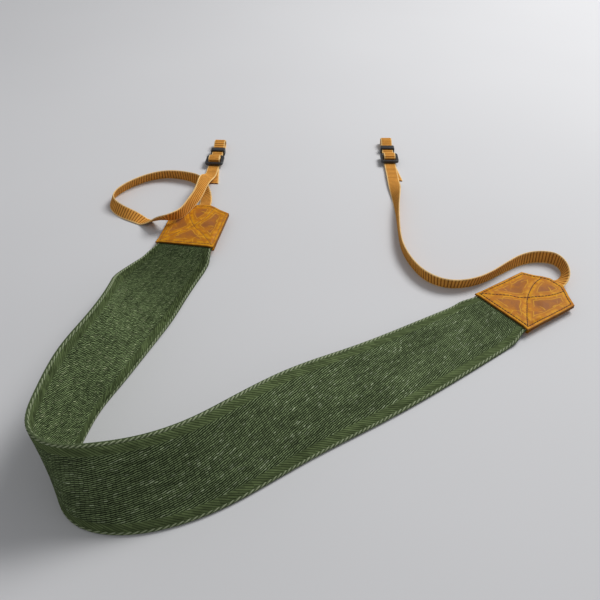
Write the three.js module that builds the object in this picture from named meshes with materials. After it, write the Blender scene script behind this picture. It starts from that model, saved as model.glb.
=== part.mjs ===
// A camera neck strap lying in a loose open coil: a wide woven band, two leather end tabs, and at each
// tab a narrow webbing that ends in a slide buckle, a keeper and a loop for the camera's strap lug.
// Millimetres, +Z up. The strap lies on z = 0 and is centred on the origin.
import * as THREE from "three";

// Woven neck band
const bandWidth = 50;
const bandThickness = 2.2;
const bandEndWidth = 46;
const bandTaper = 14;
const bandSteps = 6;

// Leather end tabs: two leaves with the band's end and the webbing's end sewn between them
const tabWidth = 47;
const tabSide = 46;
const tabPoint = 10;
const tipWidth = 11;
const leatherThickness = 1.4;
const bandTuck = 15;
const webbingTuck = 25;
const tabSteps = 12;
const pocketSlope = 7;

// Narrow webbing
const webbingWidth = 10;
const webbingThickness = 1.2;

// Slide buckle: a flat frame with two slots and a centre bar
const slideWidth = 16;
const slideThickness = 2.4;
const slideEndBar = 2.6;
const slideSlot = 3.6;
const slideCentreBar = 2.8;
const slideCorner = 2.4;

// Keeper: a flat band round both layers of the webbing
const keeperLength = 5.5;
const keeperWall = 1.2;
const keeperCorner = 1.1;

// Where things sit along the webbing's end, and the loop that the lug goes through
const slideToKeeper = 9;
const keeperToLoop = 8;
const loopLength = 4;
const loopHeight = 5;
const tailLength = 27;
const tailSwing = 3.5;
const turnRadius = 1.0;
const easeRadius = 5;

// Clearances: between pieces that touch, and between webbing and the openings it runs through
const gap = 0.3;

// How the strap lies: the rectangle that the tables below share out
const layWidth = 360;
const layDepth = 400;

const tabLength = tabSide + tabPoint;
const bandHalf = bandThickness / 2;
const webbingHalf = webbingThickness / 2;
const tabHalf = bandHalf + gap + leatherThickness;
const overTab = 2 * tabHalf + gap;
const overTail = webbingThickness + gap;

// The strap's middle line from the tip of the left tab to the tip of the right one. across and away are
// shares of layWidth and layDepth, lean is the angle of the width above the right hand side of the way
// travelled, curl is how much more the far edge leans than the near one, and rise is the lowest edge's
// height as a share of bandWidth.
const spineRows = [
  { across: -0.273, away: 0.23, lean: -4, curl: 0, rise: 0 },
  { across: -0.285, away: 0.165, lean: -4, curl: 0, rise: 0 },
  { across: -0.297, away: 0.1, lean: -4, curl: 0, rise: 0 },
  { across: -0.319, away: 0.032, lean: 4, curl: 8, rise: 0 },
  { across: -0.344, away: -0.05, lean: 22, curl: 35, rise: 0 },
  { across: -0.353, away: -0.1, lean: 40, curl: 55, rise: 0 },
  { across: -0.36, away: -0.15, lean: 57, curl: 48, rise: 0 },
  { across: -0.38, away: -0.243, lean: 70, curl: 14, rise: 0 },
  { across: -0.397, away: -0.298, lean: 73, curl: 0, rise: 0 },
  { across: -0.411, away: -0.38, lean: 77, curl: 0, rise: 0 },
  { across: -0.407, away: -0.441, lean: 86, curl: 0, rise: 0 },
  { across: -0.365, away: -0.474, lean: 103, curl: 0, rise: 0 },
  { across: -0.311, away: -0.477, lean: 116, curl: 0, rise: 0 },
  { across: -0.254, away: -0.465, lean: 122, curl: 0, rise: 0 },
  { across: -0.182, away: -0.433, lean: 127, curl: 0, rise: 0 },
  { across: -0.132, away: -0.399, lean: 132, curl: 0, rise: 0 },
  { across: -0.056, away: -0.343, lean: 143, curl: 0, rise: 0 },
  { across: 0.051, away: -0.273, lean: 160, curl: 0, rise: 0 },
  { across: 0.212, away: -0.168, lean: 175, curl: 0, rise: 0 },
  { across: 0.322, away: -0.096, lean: 182, curl: 0, rise: 0 },
  { across: 0.386, away: -0.058, lean: 182, curl: 0, rise: 0 },
  { across: 0.448, away: -0.021, lean: 182, curl: 0, rise: 0 },
];

// Each webbing's middle line, from its tab's tip to where its slide begins. across, away and lean are as
// above and rise is a share of webbingWidth. overTab and overTail are 1 where the webbing lies on top of its
// own tab or on its own tail.
const leftRows = [
  { across: -0.276, away: 0.28, lean: 20, rise: 0.02, overTab: 0, overTail: 0 },
  { across: -0.285, away: 0.31, lean: 38, rise: 0, overTab: 0, overTail: 0 },
  { across: -0.302, away: 0.337, lean: 76, rise: 0, overTab: 0, overTail: 0 },
  { across: -0.332, away: 0.354, lean: 98, rise: 0, overTab: 0, overTail: 0 },
  { across: -0.375, away: 0.362, lean: 108, rise: 0, overTab: 0, overTail: 0 },
  { across: -0.451, away: 0.328, lean: 112, rise: 0, overTab: 0, overTail: 0 },
  { across: -0.488, away: 0.25, lean: 115, rise: 0, overTab: 0, overTail: 0 },
  { across: -0.453, away: 0.213, lean: 136, rise: 0, overTab: 0, overTail: 0 },
  { across: -0.42, away: 0.198, lean: 166, rise: 0, overTab: 0, overTail: 0 },
  { across: -0.392, away: 0.184, lean: 194, rise: 0.05, overTab: 0, overTail: 0 },
  { across: -0.367, away: 0.172, lean: 216, rise: 0.05, overTab: 0.7, overTail: 0 },
  { across: -0.345, away: 0.164, lean: 238, rise: 0.12, overTab: 1, overTail: 0 },
  { across: -0.324, away: 0.174, lean: 260, rise: 0.06, overTab: 1, overTail: 0 },
  { across: -0.305, away: 0.206, lean: 280, rise: 0.06, overTab: 1, overTail: 0 },
  { across: -0.289, away: 0.25, lean: 298, rise: 0.16, overTab: 1, overTail: 0 },
  { across: -0.281, away: 0.3, lean: 317, rise: 0.9, overTab: 0, overTail: 0 },
  { across: -0.276, away: 0.345, lean: 341, rise: 0.4, overTab: 0, overTail: 0.5 },
  { across: -0.274, away: 0.38, lean: 360, rise: 0, overTab: 0, overTail: 1 },
  { across: -0.272, away: 0.41, lean: 360, rise: 0, overTab: 0, overTail: 1 },
];
const rightRows = [
  { across: 0.467, away: -0.004, lean: 40, rise: 0, overTab: 0, overTail: 0 },
  { across: 0.475, away: 0.014, lean: 72, rise: 0, overTab: 0, overTail: 0 },
  { across: 0.475, away: 0.034, lean: 84, rise: 0, overTab: 0, overTail: 0 },
  { across: 0.465, away: 0.05, lean: 84, rise: 0, overTab: 0, overTail: 0 },
  { across: 0.445, away: 0.056, lean: 82, rise: 0, overTab: 0, overTail: 0 },
  { across: 0.404, away: 0.05, lean: 84, rise: 0, overTab: 0, overTail: 0 },
  { across: 0.377, away: 0.036, lean: 88, rise: 0, overTab: 0, overTail: 0 },
  { across: 0.344, away: 0.014, lean: 96, rise: 0, overTab: 0, overTail: 0 },
  { across: 0.305, away: -0.01, lean: 102, rise: 0, overTab: 0, overTail: 0 },
  { across: 0.27, away: -0.022, lean: 105, rise: 0, overTab: 0, overTail: 0 },
  { across: 0.231, away: -0.022, lean: 105, rise: 0, overTab: 0, overTail: 0 },
  { across: 0.203, away: -0.008, lean: 101, rise: 0, overTab: 0, overTail: 0 },
  { across: 0.173, away: 0.037, lean: 98, rise: 0, overTab: 0, overTail: 0 },
  { across: 0.16, away: 0.088, lean: 94, rise: 0, overTab: 0, overTail: 0 },
  { across: 0.16, away: 0.15, lean: 90, rise: 0, overTab: 0, overTail: 0 },
  { across: 0.165, away: 0.22, lean: 78, rise: 0, overTab: 0, overTail: 0 },
  { across: 0.17, away: 0.3, lean: 34, rise: 0, overTab: 0, overTail: 0.7 },
  { across: 0.171, away: 0.35, lean: 0, rise: 0, overTab: 0, overTail: 1 },
  { across: 0.171, away: 0.385, lean: 0, rise: 0, overTab: 0, overTail: 1 },
  { across: 0.171, away: 0.42, lean: 0, rise: 0, overTab: 0, overTail: 1 },
];

const up = new THREE.Vector3(0, 0, 1);
const lerp = THREE.MathUtils.lerp;
const smoothstep = THREE.MathUtils.smoothstep;
const radians = THREE.MathUtils.degToRad;

// A natural cubic through values at rising knots.
class Spline {
  constructor(knots, values) {
    const n = knots.length;
    const bends = new Array(n).fill(0);
    const carried = new Array(n).fill(0);
    const share = new Array(n).fill(0);
    for (let i = 1; i < n - 1; i++) {
      const before = knots[i] - knots[i - 1];
      const after = knots[i + 1] - knots[i];
      const change = (values[i + 1] - values[i]) / after - (values[i] - values[i - 1]) / before;
      const pivot = 2 * (before + after) - before * share[i - 1];
      share[i] = after / pivot;
      carried[i] = (6 * change - before * carried[i - 1]) / pivot;
    }
    for (let i = n - 2; i > 0; i--) bends[i] = carried[i] - share[i] * bends[i + 1];
    Object.assign(this, { knots, values, bends });
  }

  at(u) {
    const { knots, values, bends } = this;
    let i = 0;
    while (i < knots.length - 2 && u > knots[i + 1]) i++;
    const span = knots[i + 1] - knots[i];
    const b = (u - knots[i]) / span;
    const a = 1 - b;
    const bend = ((a ** 3 - a) * bends[i] + (b ** 3 - b) * bends[i + 1]) * (span ** 2 / 6);
    return a * values[i] + b * values[i + 1] + bend;
  }
}

// A strip's way across the floor, from rows of x, y, lean, curl and rise. halfAt gives half the thickness
// of all that is stacked there, at a distance from the nearer end.
class Route {
  constructor(rows, width, halfAt, samples = 1500) {
    this.width = width;
    this.halfAt = halfAt;
    const knots = [0];
    for (let i = 1; i < rows.length; i++) {
      const leg = Math.hypot(rows[i].x - rows[i - 1].x, rows[i].y - rows[i - 1].y);
      knots.push(knots[i - 1] + leg);
    }
    this.columns = {};
    for (const name of ["x", "y", "lean", "curl", "rise"])
      this.columns[name] = new Spline(knots, rows.map((row) => row[name]));
    this.end = knots.at(-1);
    this.lengths = [0];
    this.samples = samples;
    let last = this.plan(0);
    for (let i = 1; i <= samples; i++) {
      const next = this.plan((this.end * i) / samples);
      this.lengths.push(this.lengths[i - 1] + next.distanceTo(last));
      last = next;
    }
    this.length = this.lengths[samples];
  }

  plan(u) {
    return new THREE.Vector2(this.columns.x.at(u), this.columns.y.at(u));
  }

  // The spline's parameter at a length along the route.
  parameter(length) {
    const lengths = this.lengths;
    let low = 0;
    let high = this.samples;
    while (high - low > 1) {
      const middle = (low + high) >> 1;
      if (lengths[middle] > length) high = middle;
      else low = middle;
    }
    const part = (length - lengths[low]) / (lengths[high] - lengths[low]);
    return (this.end * (low + part)) / this.samples;
  }

  // The frame at a length along the route: its centre, its right hand side, and its width's angles.
  station(length) {
    const u = this.parameter(length);
    const step = this.end / this.samples;
    const ahead = this.plan(u + step).sub(this.plan(u - step)).normalize();
    const read = (name) => this.columns[name].at(u);
    const station = {
      length,
      centre: new THREE.Vector3(read("x"), read("y"), 0),
      ahead: new THREE.Vector3(ahead.x, ahead.y, 0),
      side: new THREE.Vector3(ahead.y, -ahead.x, 0),
      lean: radians(read("lean")),
      curl: radians(read("curl")),
    };
    const half = this.halfAt(Math.min(length, this.length - length));
    let lowest = Infinity;
    for (const share of [-0.5, -0.25, 0, 0.25, 0.5])
      for (const offset of [-half, half])
        lowest = Math.min(lowest, this.point(station, share * this.width, offset).z);
    station.centre.z = Math.max(read("rise"), 0) - lowest;
    return station;
  }

  // A point of the strip: across its width from the middle, and off its middle surface.
  point(station, across, offset) {
    const { centre, side, lean, curl } = station;
    const angle = lean + (curl * across) / this.width;
    const middle = (lean + angle) / 2;
    const spread = Math.abs(angle - lean) < 1e-6 ? 1 : Math.sin((angle - lean) / 2) / ((angle - lean) / 2);
    return centre
      .clone()
      .addScaledVector(side, across * spread * Math.cos(middle) - offset * Math.sin(angle))
      .addScaledVector(up, across * spread * Math.sin(middle) + offset * Math.cos(angle));
  }
}

// A closed solid through rings of points, each ring an upper row and a lower row of equal count.
function loft(rings) {
  const positions = [];
  const faces = [];
  const across = rings[0].upper.length;
  const ring = 2 * across;
  for (const { upper, lower } of rings)
    for (const point of [...upper, ...[...lower].reverse()]) positions.push(point.x, point.y, point.z);
  const quad = (a, b, c, d) => faces.push(a, b, c, a, c, d);
  for (let i = 0; i + 1 < rings.length; i++)
    for (let j = 0; j < ring; j++) {
      const next = (j + 1) % ring;
      quad(i * ring + j, i * ring + next, (i + 1) * ring + next, (i + 1) * ring + j);
    }
  const last = (rings.length - 1) * ring;
  for (let j = 0; j + 1 < across; j++) {
    quad(j, ring - 1 - j, ring - 2 - j, j + 1);
    quad(last + j, last + j + 1, last + ring - 2 - j, last + ring - 1 - j);
  }
  const geometry = new THREE.BufferGeometry();
  geometry.setAttribute("position", new THREE.Float32BufferAttribute(positions, 3));
  geometry.setIndex(faces);
  geometry.computeVertexNormals();
  return geometry;
}

// A strip of a route between two lengths. halfWidth, low and high give its outline and its two faces.
function strip(route, lengths, steps, halfWidth, low, high) {
  const rings = lengths.map((length) => {
    const station = route.station(length);
    const half = halfWidth(length);
    const row = (offset) =>
      Array.from({ length: steps + 1 }, (_, k) => {
        const across = half * ((2 * k) / steps - 1);
        return route.point(station, across, offset(length, across));
      });
    return { upper: row(high), lower: row(low) };
  });
  return loft(rings);
}

// Evenly spaced lengths, both ends included.
function spaced(from, to, step) {
  const count = Math.max(1, Math.round(Math.abs(to - from) / step));
  return Array.from({ length: count + 1 }, (_, i) => lerp(from, to, i / count));
}

const laid = (row) => ({ ...row, x: row.across * layWidth, y: row.away * layDepth });

const spine = new Route(
  spineRows.map((row) => ({ ...laid(row), rise: row.rise * bandWidth })),
  bandWidth,
  (fromTip) => lerp(tabHalf, bandHalf, smoothstep(fromTip, tabLength, tabLength + bandWidth / 2)),
);

function material(color, roughness) {
  return new THREE.MeshStandardMaterial({ color, roughness, metalness: 0 });
}
const bandGreen = material(0x4a5a34, 0.9);
const tabLeather = material(0xc98522, 0.6);
const webbingTan = material(0xc98d45, 0.85);
const slideBlack = material(0x1c1c1e, 0.45);

function piece(name, geometry, finish) {
  const mesh = new THREE.Mesh(geometry, finish);
  mesh.name = name;
  return mesh;
}

// The band narrows a little towards its tabs, so that its ends are hidden between their leaves.
function makeBand() {
  const start = tabLength - bandTuck;
  const stop = spine.length - start;
  const lengths = spaced(start, stop, 5);
  const halfWidth = (length) => {
    const fromTip = Math.min(length, spine.length - length);
    return lerp(bandEndWidth, bandWidth, smoothstep(fromTip, tabLength, tabLength + bandTaper)) / 2;
  };
  return strip(spine, lengths, bandSteps, halfWidth, () => -bandHalf, () => bandHalf);
}

// Half the tab's width at a distance from its tip.
function tabHalfWidth(fromTip) {
  return lerp(tipWidth, tabWidth, Math.min(fromTip / tabPoint, 1)) / 2;
}

// How far a leaf's inner face stands off the middle surface: clear of the band's end, clear of the
// webbing's end, and elsewhere all but closed on the other leaf.
function pocket(fromTip, across) {
  const overBand = smoothstep(fromTip, tabLength - bandTuck - gap - pocketSlope, tabLength - bandTuck - gap);
  const webbingEdge = webbingWidth / 2 + gap + tabWidth / tabSteps;
  const besideWebbing = smoothstep(Math.abs(across), webbingEdge, webbingEdge + pocketSlope);
  const pastWebbing = smoothstep(fromTip, webbingTuck + gap, webbingTuck + gap + pocketSlope);
  const closed = gap / 2;
  const webbing = lerp(webbingHalf + gap, closed, Math.max(besideWebbing, pastWebbing));
  return lerp(webbing, bandHalf + gap, overBand);
}

// A leather leaf of the tab at either end of the spine. face is 1 or -1, the side of the spine it is on.
function makeLeaf(atEnd, face) {
  const webbingEnd = webbingTuck + gap;
  const bandEnd = tabLength - bandTuck - gap;
  const breaks = [0, tabPoint, webbingEnd, webbingEnd + pocketSlope, bandEnd - pocketSlope, bandEnd, tabLength];
  const fromTips = breaks.flatMap((place, i) => (i ? spaced(breaks[i - 1], place, 3.5).slice(1) : [place]));
  const lengths = atEnd ? fromTips.map((d) => spine.length - d).reverse() : fromTips;
  const fromTip = (length) => (atEnd ? spine.length - length : length);
  const inner = (length, across) => face * pocket(fromTip(length), across);
  const outer = (length, across) => face * (pocket(fromTip(length), across) + leatherThickness);
  const halfWidth = (length) => tabHalfWidth(fromTip(length));
  return face > 0
    ? strip(spine, lengths, tabSteps, halfWidth, inner, outer)
    : strip(spine, lengths, tabSteps, halfWidth, outer, inner);
}

// The spine's station at a distance from the tip of the tab at either end.
function tabStation(atEnd, fromTip) {
  return spine.station(atEnd ? spine.length - fromTip : fromTip);
}

// A webbing's route: the end that is sewn into its tab, on the tab's middle surface, and then its table.
function webbingRoute(rows, atEnd) {
  const sewn = [webbingTuck, 0].map((fromTip) => {
    const station = tabStation(atEnd, fromTip);
    const lean = atEnd ? station.lean - Math.PI : -station.lean;
    const drop = (webbingWidth / 2) * Math.abs(Math.sin(lean)) + webbingHalf * Math.cos(lean);
    const { x, y, z } = station.centre;
    return { x, y, lean: THREE.MathUtils.radToDeg(lean), curl: 0, rise: z - drop };
  });
  const free = rows.map((row) => ({
    ...laid(row),
    curl: 0,
    rise: row.rise * webbingWidth + row.overTab * overTab + row.overTail * overTail,
  }));
  return new Route([...sewn, ...free], webbingWidth, () => webbingHalf);
}

// Heights of the webbing's two layers over the floor at its end, and of the slide that rides on them
const lowerLevel = webbingHalf;
const upperLevel = lowerLevel + webbingThickness + gap;
const slideBase = upperLevel + webbingHalf + gap;
const tailOverBar = slideBase + slideThickness + gap + webbingHalf;
const runOverBar = tailOverBar + webbingThickness + gap;
const keeperLift = keeperWall + gap;

// Places along the webbing's end, from the slide's near edge on
const slideLength = 2 * slideEndBar + 2 * slideSlot + slideCentreBar;
const nearSlot = slideEndBar;
const farSlot = slideEndBar + slideSlot + slideCentreBar;
const hug = gap + webbingHalf;
const keeperNear = slideLength + slideToKeeper;
const keeperFar = keeperNear + keeperLength;
const loopNear = keeperFar + keeperToLoop;
const loopFar = loopNear + loopLength + loopHeight / 2;
const loopTop = 2 * lowerLevel + loopHeight + webbingHalf;

// The corners of the webbing's end in its own upright plane, each with the radius it is rounded to: up
// through the slide, over its centre bar, on to the lug loop, and back under itself to the tail.
const endCorners = [
  { along: 0, height: upperLevel, radius: 0 },
  { along: nearSlot + hug, height: upperLevel, radius: turnRadius },
  { along: nearSlot + hug, height: runOverBar, radius: 2 * turnRadius },
  { along: farSlot + slideSlot - hug, height: runOverBar, radius: 2 * turnRadius },
  { along: farSlot + slideSlot - hug, height: upperLevel, radius: turnRadius },
  { along: slideLength + gap, height: upperLevel, radius: easeRadius },
  { along: keeperNear - gap, height: upperLevel + keeperLift, radius: easeRadius },
  { along: keeperFar + gap, height: upperLevel + keeperLift, radius: easeRadius },
  { along: loopNear, height: loopTop, radius: easeRadius },
  { along: loopFar, height: loopTop, radius: (loopTop - lowerLevel) / 2 },
  { along: loopFar, height: lowerLevel, radius: (loopTop - lowerLevel) / 2 },
  { along: loopNear, height: lowerLevel, radius: easeRadius },
  { along: keeperFar + gap, height: lowerLevel + keeperLift, radius: easeRadius },
  { along: keeperNear - gap, height: lowerLevel + keeperLift, radius: easeRadius },
  { along: slideLength + gap, height: lowerLevel, radius: easeRadius },
  { along: farSlot + hug, height: lowerLevel, radius: turnRadius },
  { along: farSlot + hug, height: tailOverBar, radius: turnRadius },
  { along: nearSlot + slideSlot - hug, height: tailOverBar, radius: turnRadius },
  { along: nearSlot + slideSlot - hug, height: lowerLevel, radius: turnRadius },
  { along: -tailLength, height: lowerLevel, radius: 0 },
];

// Points along straight legs joined by arcs: each has its place and the direction there.
function rounded(corners) {
  const at = corners.map(({ along, height }) => new THREE.Vector2(along, height));
  const points = [];
  corners.forEach(({ radius }, i) => {
    if (!radius) {
      const direction = i ? at[i].clone().sub(at[i - 1]) : at[1].clone().sub(at[0]);
      points.push({ place: at[i], direction: direction.normalize() });
      return;
    }
    const before = at[i].clone().sub(at[i - 1]).normalize();
    const after = at[i + 1].clone().sub(at[i]).normalize();
    const turn = Math.atan2(before.cross(after), before.dot(after));
    const reach = radius * Math.tan(Math.abs(turn) / 2);
    const start = at[i].clone().addScaledVector(before, -reach);
    const inward = new THREE.Vector2(-before.y, before.x).multiplyScalar(Math.sign(turn) * radius);
    const centre = start.clone().add(inward);
    const steps = Math.max(2, Math.round(Math.abs(turn) / radians(22)));
    for (let k = 0; k <= steps; k++) {
      const angle = (turn * k) / steps;
      const place = start.clone().rotateAround(centre, angle);
      points.push({ place, direction: before.clone().rotateAround(new THREE.Vector2(), angle) });
    }
  });
  return points;
}

function makeWebbing(route, atEnd) {
  const turned = atEnd ? -1 : 1;
  const sewn = spaced(webbingTuck, 0, 3.5).map((fromTip) => {
    const station = tabStation(atEnd, fromTip);
    const row = (offset) =>
      [1, -1].map((edge) => spine.point(station, (edge * webbingWidth) / 2, turned * offset));
    return { upper: row(webbingHalf), lower: row(-webbingHalf) };
  });
  const free = spaced(webbingTuck, route.length, 3.5).slice(1).map((length) => {
    const station = route.station(length);
    const row = (offset) => [-1, 1].map((edge) => route.point(station, (edge * webbingWidth) / 2, offset));
    return { upper: row(webbingHalf), lower: row(-webbingHalf) };
  });
  const rings = [...sewn, ...free];
  const { centre, ahead, side, lean } = route.station(route.length);
  const facing = Math.sign(Math.cos(lean));
  for (const { place, direction } of rounded(endCorners).slice(1)) {
    const swing = tailSwing * Math.max(-place.x / tailLength, 0);
    const middle = centre
      .clone()
      .addScaledVector(ahead, place.x)
      .addScaledVector(side, swing)
      .addScaledVector(up, place.y - upperLevel);
    const normal = up
      .clone()
      .multiplyScalar(direction.x)
      .addScaledVector(ahead, -direction.y)
      .multiplyScalar(facing);
    const row = (offset) =>
      [-1, 1].map((edge) =>
        middle
          .clone()
          .addScaledVector(side, (facing * edge * webbingWidth) / 2)
          .addScaledVector(normal, offset),
      );
    rings.push({ upper: row(webbingHalf), lower: row(-webbingHalf) });
  }
  return loft(rings);
}

// A rectangle with round corners, centred on a point.
function roundedRectangle(shape, x, y, width, height, corner) {
  const right = x + width / 2;
  const top = y + height / 2;
  const left = x - width / 2;
  const bottom = y - height / 2;
  shape.moveTo(left + corner, bottom);
  shape.lineTo(right - corner, bottom);
  shape.absarc(right - corner, bottom + corner, corner, -Math.PI / 2, 0);
  shape.lineTo(right, top - corner);
  shape.absarc(right - corner, top - corner, corner, 0, Math.PI / 2);
  shape.lineTo(left + corner, top);
  shape.absarc(left + corner, top - corner, corner, Math.PI / 2, Math.PI);
  shape.lineTo(left, bottom + corner);
  shape.absarc(left + corner, bottom + corner, corner, Math.PI, 1.5 * Math.PI);
  return shape;
}

// The slide buckle, lying flat: x across the webbing, y along it from the slide's near edge.
function makeSlide() {
  const outline = roundedRectangle(new THREE.Shape(), 0, slideLength / 2, slideWidth, slideLength, slideCorner);
  const slotWidth = webbingWidth + 4 * gap;
  for (const near of [nearSlot, farSlot]) {
    const slot = roundedRectangle(new THREE.Path(), 0, near + slideSlot / 2, slotWidth, slideSlot, gap);
    outline.holes.push(slot);
  }
  const geometry = new THREE.ExtrudeGeometry(outline, {
    depth: slideThickness,
    bevelEnabled: false,
    curveSegments: 4,
  });
  return geometry.translate(0, 0, slideBase);
}

// The keeper, a loop round both layers, standing on the floor: y along the webbing from its near face.
function makeKeeper() {
  const innerWidth = webbingWidth + 2 * gap;
  const innerHeight = 2 * webbingThickness + 3 * gap;
  const height = innerHeight + 2 * keeperWall;
  const width = innerWidth + 2 * keeperWall;
  const outline = roundedRectangle(new THREE.Shape(), 0, height / 2, width, height, keeperCorner);
  outline.holes.push(roundedRectangle(new THREE.Path(), 0, height / 2, innerWidth, innerHeight, gap));
  const geometry = new THREE.ExtrudeGeometry(outline, {
    depth: keeperLength,
    bevelEnabled: false,
    curveSegments: 4,
  });
  return geometry.rotateX(Math.PI / 2).translate(0, keeperLength, 0);
}

const strap = new THREE.Group();
strap.add(piece("band", makeBand(), bandGreen));
for (const [side, rows, atEnd, topFace] of [["left", leftRows, false, 1], ["right", rightRows, true, -1]]) {
  strap.add(piece(`tab_${side}_top`, makeLeaf(atEnd, topFace), tabLeather));
  strap.add(piece(`tab_${side}_bottom`, makeLeaf(atEnd, -topFace), tabLeather));

  const route = webbingRoute(rows, atEnd);
  strap.add(piece(`webbing_${side}`, makeWebbing(route, atEnd), webbingTan));

  // The slide and keeper stand where the webbing's route ends, turned to its direction.
  const { centre, ahead } = route.station(route.length);
  const fittings = new THREE.Group();
  fittings.position.copy(centre).addScaledVector(up, -upperLevel);
  fittings.rotation.z = Math.atan2(ahead.y, ahead.x) - Math.PI / 2;
  fittings.add(piece(`slide_${side}`, makeSlide(), slideBlack));
  const keeper = piece(`keeper_${side}`, makeKeeper(), slideBlack);
  keeper.position.y = keeperNear;
  fittings.add(keeper);
  strap.add(fittings);
}

// The origin goes to the middle of the strap's box, on the floor.
const box = new THREE.Box3().setFromObject(strap, true);
const middle = box.getCenter(new THREE.Vector3());
strap.position.set(-middle.x, -middle.y, -box.min.z);

export default strap;
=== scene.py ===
"""Looks of a camera neck strap that lies in a loose open coil.

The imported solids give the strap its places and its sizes. This script lays a woven band, stitched leather
tabs and ribbed webbings over them, with their slide buckles and keepers, and sets a plain studio round them.
Lengths are in metres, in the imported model's own frame, with the floor at z = 0.
"""

import functools
import itertools
import logging
import math
from dataclasses import dataclass, field
from enum import Enum
from typing import Callable, NamedTuple, Sequence

import bpy
import numpy as np
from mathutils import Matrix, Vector


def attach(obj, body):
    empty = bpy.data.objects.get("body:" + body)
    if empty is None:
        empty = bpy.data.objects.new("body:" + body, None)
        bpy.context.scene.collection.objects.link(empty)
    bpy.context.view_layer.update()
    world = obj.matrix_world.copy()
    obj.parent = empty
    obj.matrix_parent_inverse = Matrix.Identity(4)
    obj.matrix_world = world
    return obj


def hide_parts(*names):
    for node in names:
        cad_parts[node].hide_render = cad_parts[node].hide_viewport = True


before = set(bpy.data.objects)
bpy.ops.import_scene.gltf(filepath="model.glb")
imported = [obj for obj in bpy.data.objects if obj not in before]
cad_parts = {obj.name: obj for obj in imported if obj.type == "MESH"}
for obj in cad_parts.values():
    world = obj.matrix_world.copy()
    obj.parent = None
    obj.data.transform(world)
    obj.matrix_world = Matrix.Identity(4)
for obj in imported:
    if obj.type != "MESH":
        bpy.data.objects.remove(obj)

log = logging.getLogger("camera_strap")

UP = np.array([0.0, 0.0, 1.0])
Colour = tuple[float, float, float]
Span = tuple[float, float]
Corner3 = tuple[float, float, float]
Points = np.ndarray


def mm(value: float) -> float:
    """A length in millimetres, in metres."""
    return value * 0.001


def smooth(value: Points, low: float, high: float) -> Points:
    """A smooth step from 0 at low to 1 at high."""
    share = np.clip((value - low) / (high - low), 0.0, 1.0)
    return share * share * (3.0 - 2.0 * share)


def blended(low: Points, high: Points, share: Points) -> Points:
    """A value that goes from low to high as share goes from 0 to 1."""
    return low + (high - low) * share


def run_lengths(points: Points) -> Points:
    """The length along a run of points, from its start to each of them."""
    return np.concatenate([[0.0], np.cumsum(np.linalg.norm(np.diff(points, axis=0), axis=1))])


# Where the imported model's origin puts the middle of the lay, and the rectangle that the tables share out
LAY_SHIFT = np.array([0.002904, -0.005068, 0.0])
LAY_WIDTH = 0.360
LAY_DEPTH = 0.400
GAP = mm(0.3)

# The angles in degrees above which an edge stays sharp: of cloth and leather, and of a moulded piece
CREASE_ANGLE = 50.0
MOULDED_ANGLE = 40.0

# A block's edge runs along an axis if it spans more than this there, and a face looks along an axis if its
# normal has more than this share of it
SHORTEST_EDGE = mm(1)
FACING = 0.9

# Corners of a moulded piece that are closer together than this are merged
MERGE_DISTANCE = mm(0.001)

# How many points across a strip are compared to find its lowest one
WIDTH_POINTS = 5


class Row(NamedTuple):
    """A row of a route's table: a place as shares of the lay, and the angles of the strip's width there."""

    across: float
    away: float
    lean: float
    curl: float = 0.0
    rise: float = 0.0
    over_tab: float = 0.0
    over_tail: float = 0.0


SPINE_ROWS = (
    Row(-0.273, 0.23, -4),
    Row(-0.285, 0.165, -4),
    Row(-0.297, 0.1, -4),
    Row(-0.319, 0.032, 4, 8),
    Row(-0.344, -0.05, 22, 35),
    Row(-0.353, -0.1, 40, 55),
    Row(-0.36, -0.15, 57, 48),
    Row(-0.38, -0.243, 70, 14),
    Row(-0.397, -0.298, 73),
    Row(-0.411, -0.38, 77),
    Row(-0.407, -0.441, 86),
    Row(-0.365, -0.474, 103),
    Row(-0.311, -0.477, 116),
    Row(-0.254, -0.465, 122),
    Row(-0.182, -0.433, 127),
    Row(-0.132, -0.399, 132),
    Row(-0.056, -0.343, 143),
    Row(0.051, -0.273, 160),
    Row(0.212, -0.168, 175),
    Row(0.322, -0.096, 182),
    Row(0.386, -0.058, 182),
    Row(0.448, -0.021, 182),
)

LEFT_ROWS = (
    Row(-0.276, 0.28, 20, rise=0.02),
    Row(-0.285, 0.31, 38),
    Row(-0.302, 0.337, 76),
    Row(-0.332, 0.354, 98),
    Row(-0.375, 0.362, 108),
    Row(-0.451, 0.328, 112),
    Row(-0.488, 0.25, 115),
    Row(-0.453, 0.213, 136),
    Row(-0.42, 0.198, 166),
    Row(-0.392, 0.184, 194, rise=0.05),
    Row(-0.367, 0.172, 216, rise=0.05, over_tab=0.7),
    Row(-0.345, 0.164, 238, rise=0.12, over_tab=1),
    Row(-0.324, 0.174, 260, rise=0.06, over_tab=1),
    Row(-0.305, 0.206, 280, rise=0.06, over_tab=1),
    Row(-0.289, 0.25, 298, rise=0.16, over_tab=1),
    Row(-0.281, 0.3, 317, rise=0.9),
    Row(-0.276, 0.345, 341, rise=0.4, over_tail=0.5),
    Row(-0.274, 0.38, 360, over_tail=1),
    Row(-0.272, 0.41, 360, over_tail=1),
)

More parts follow.
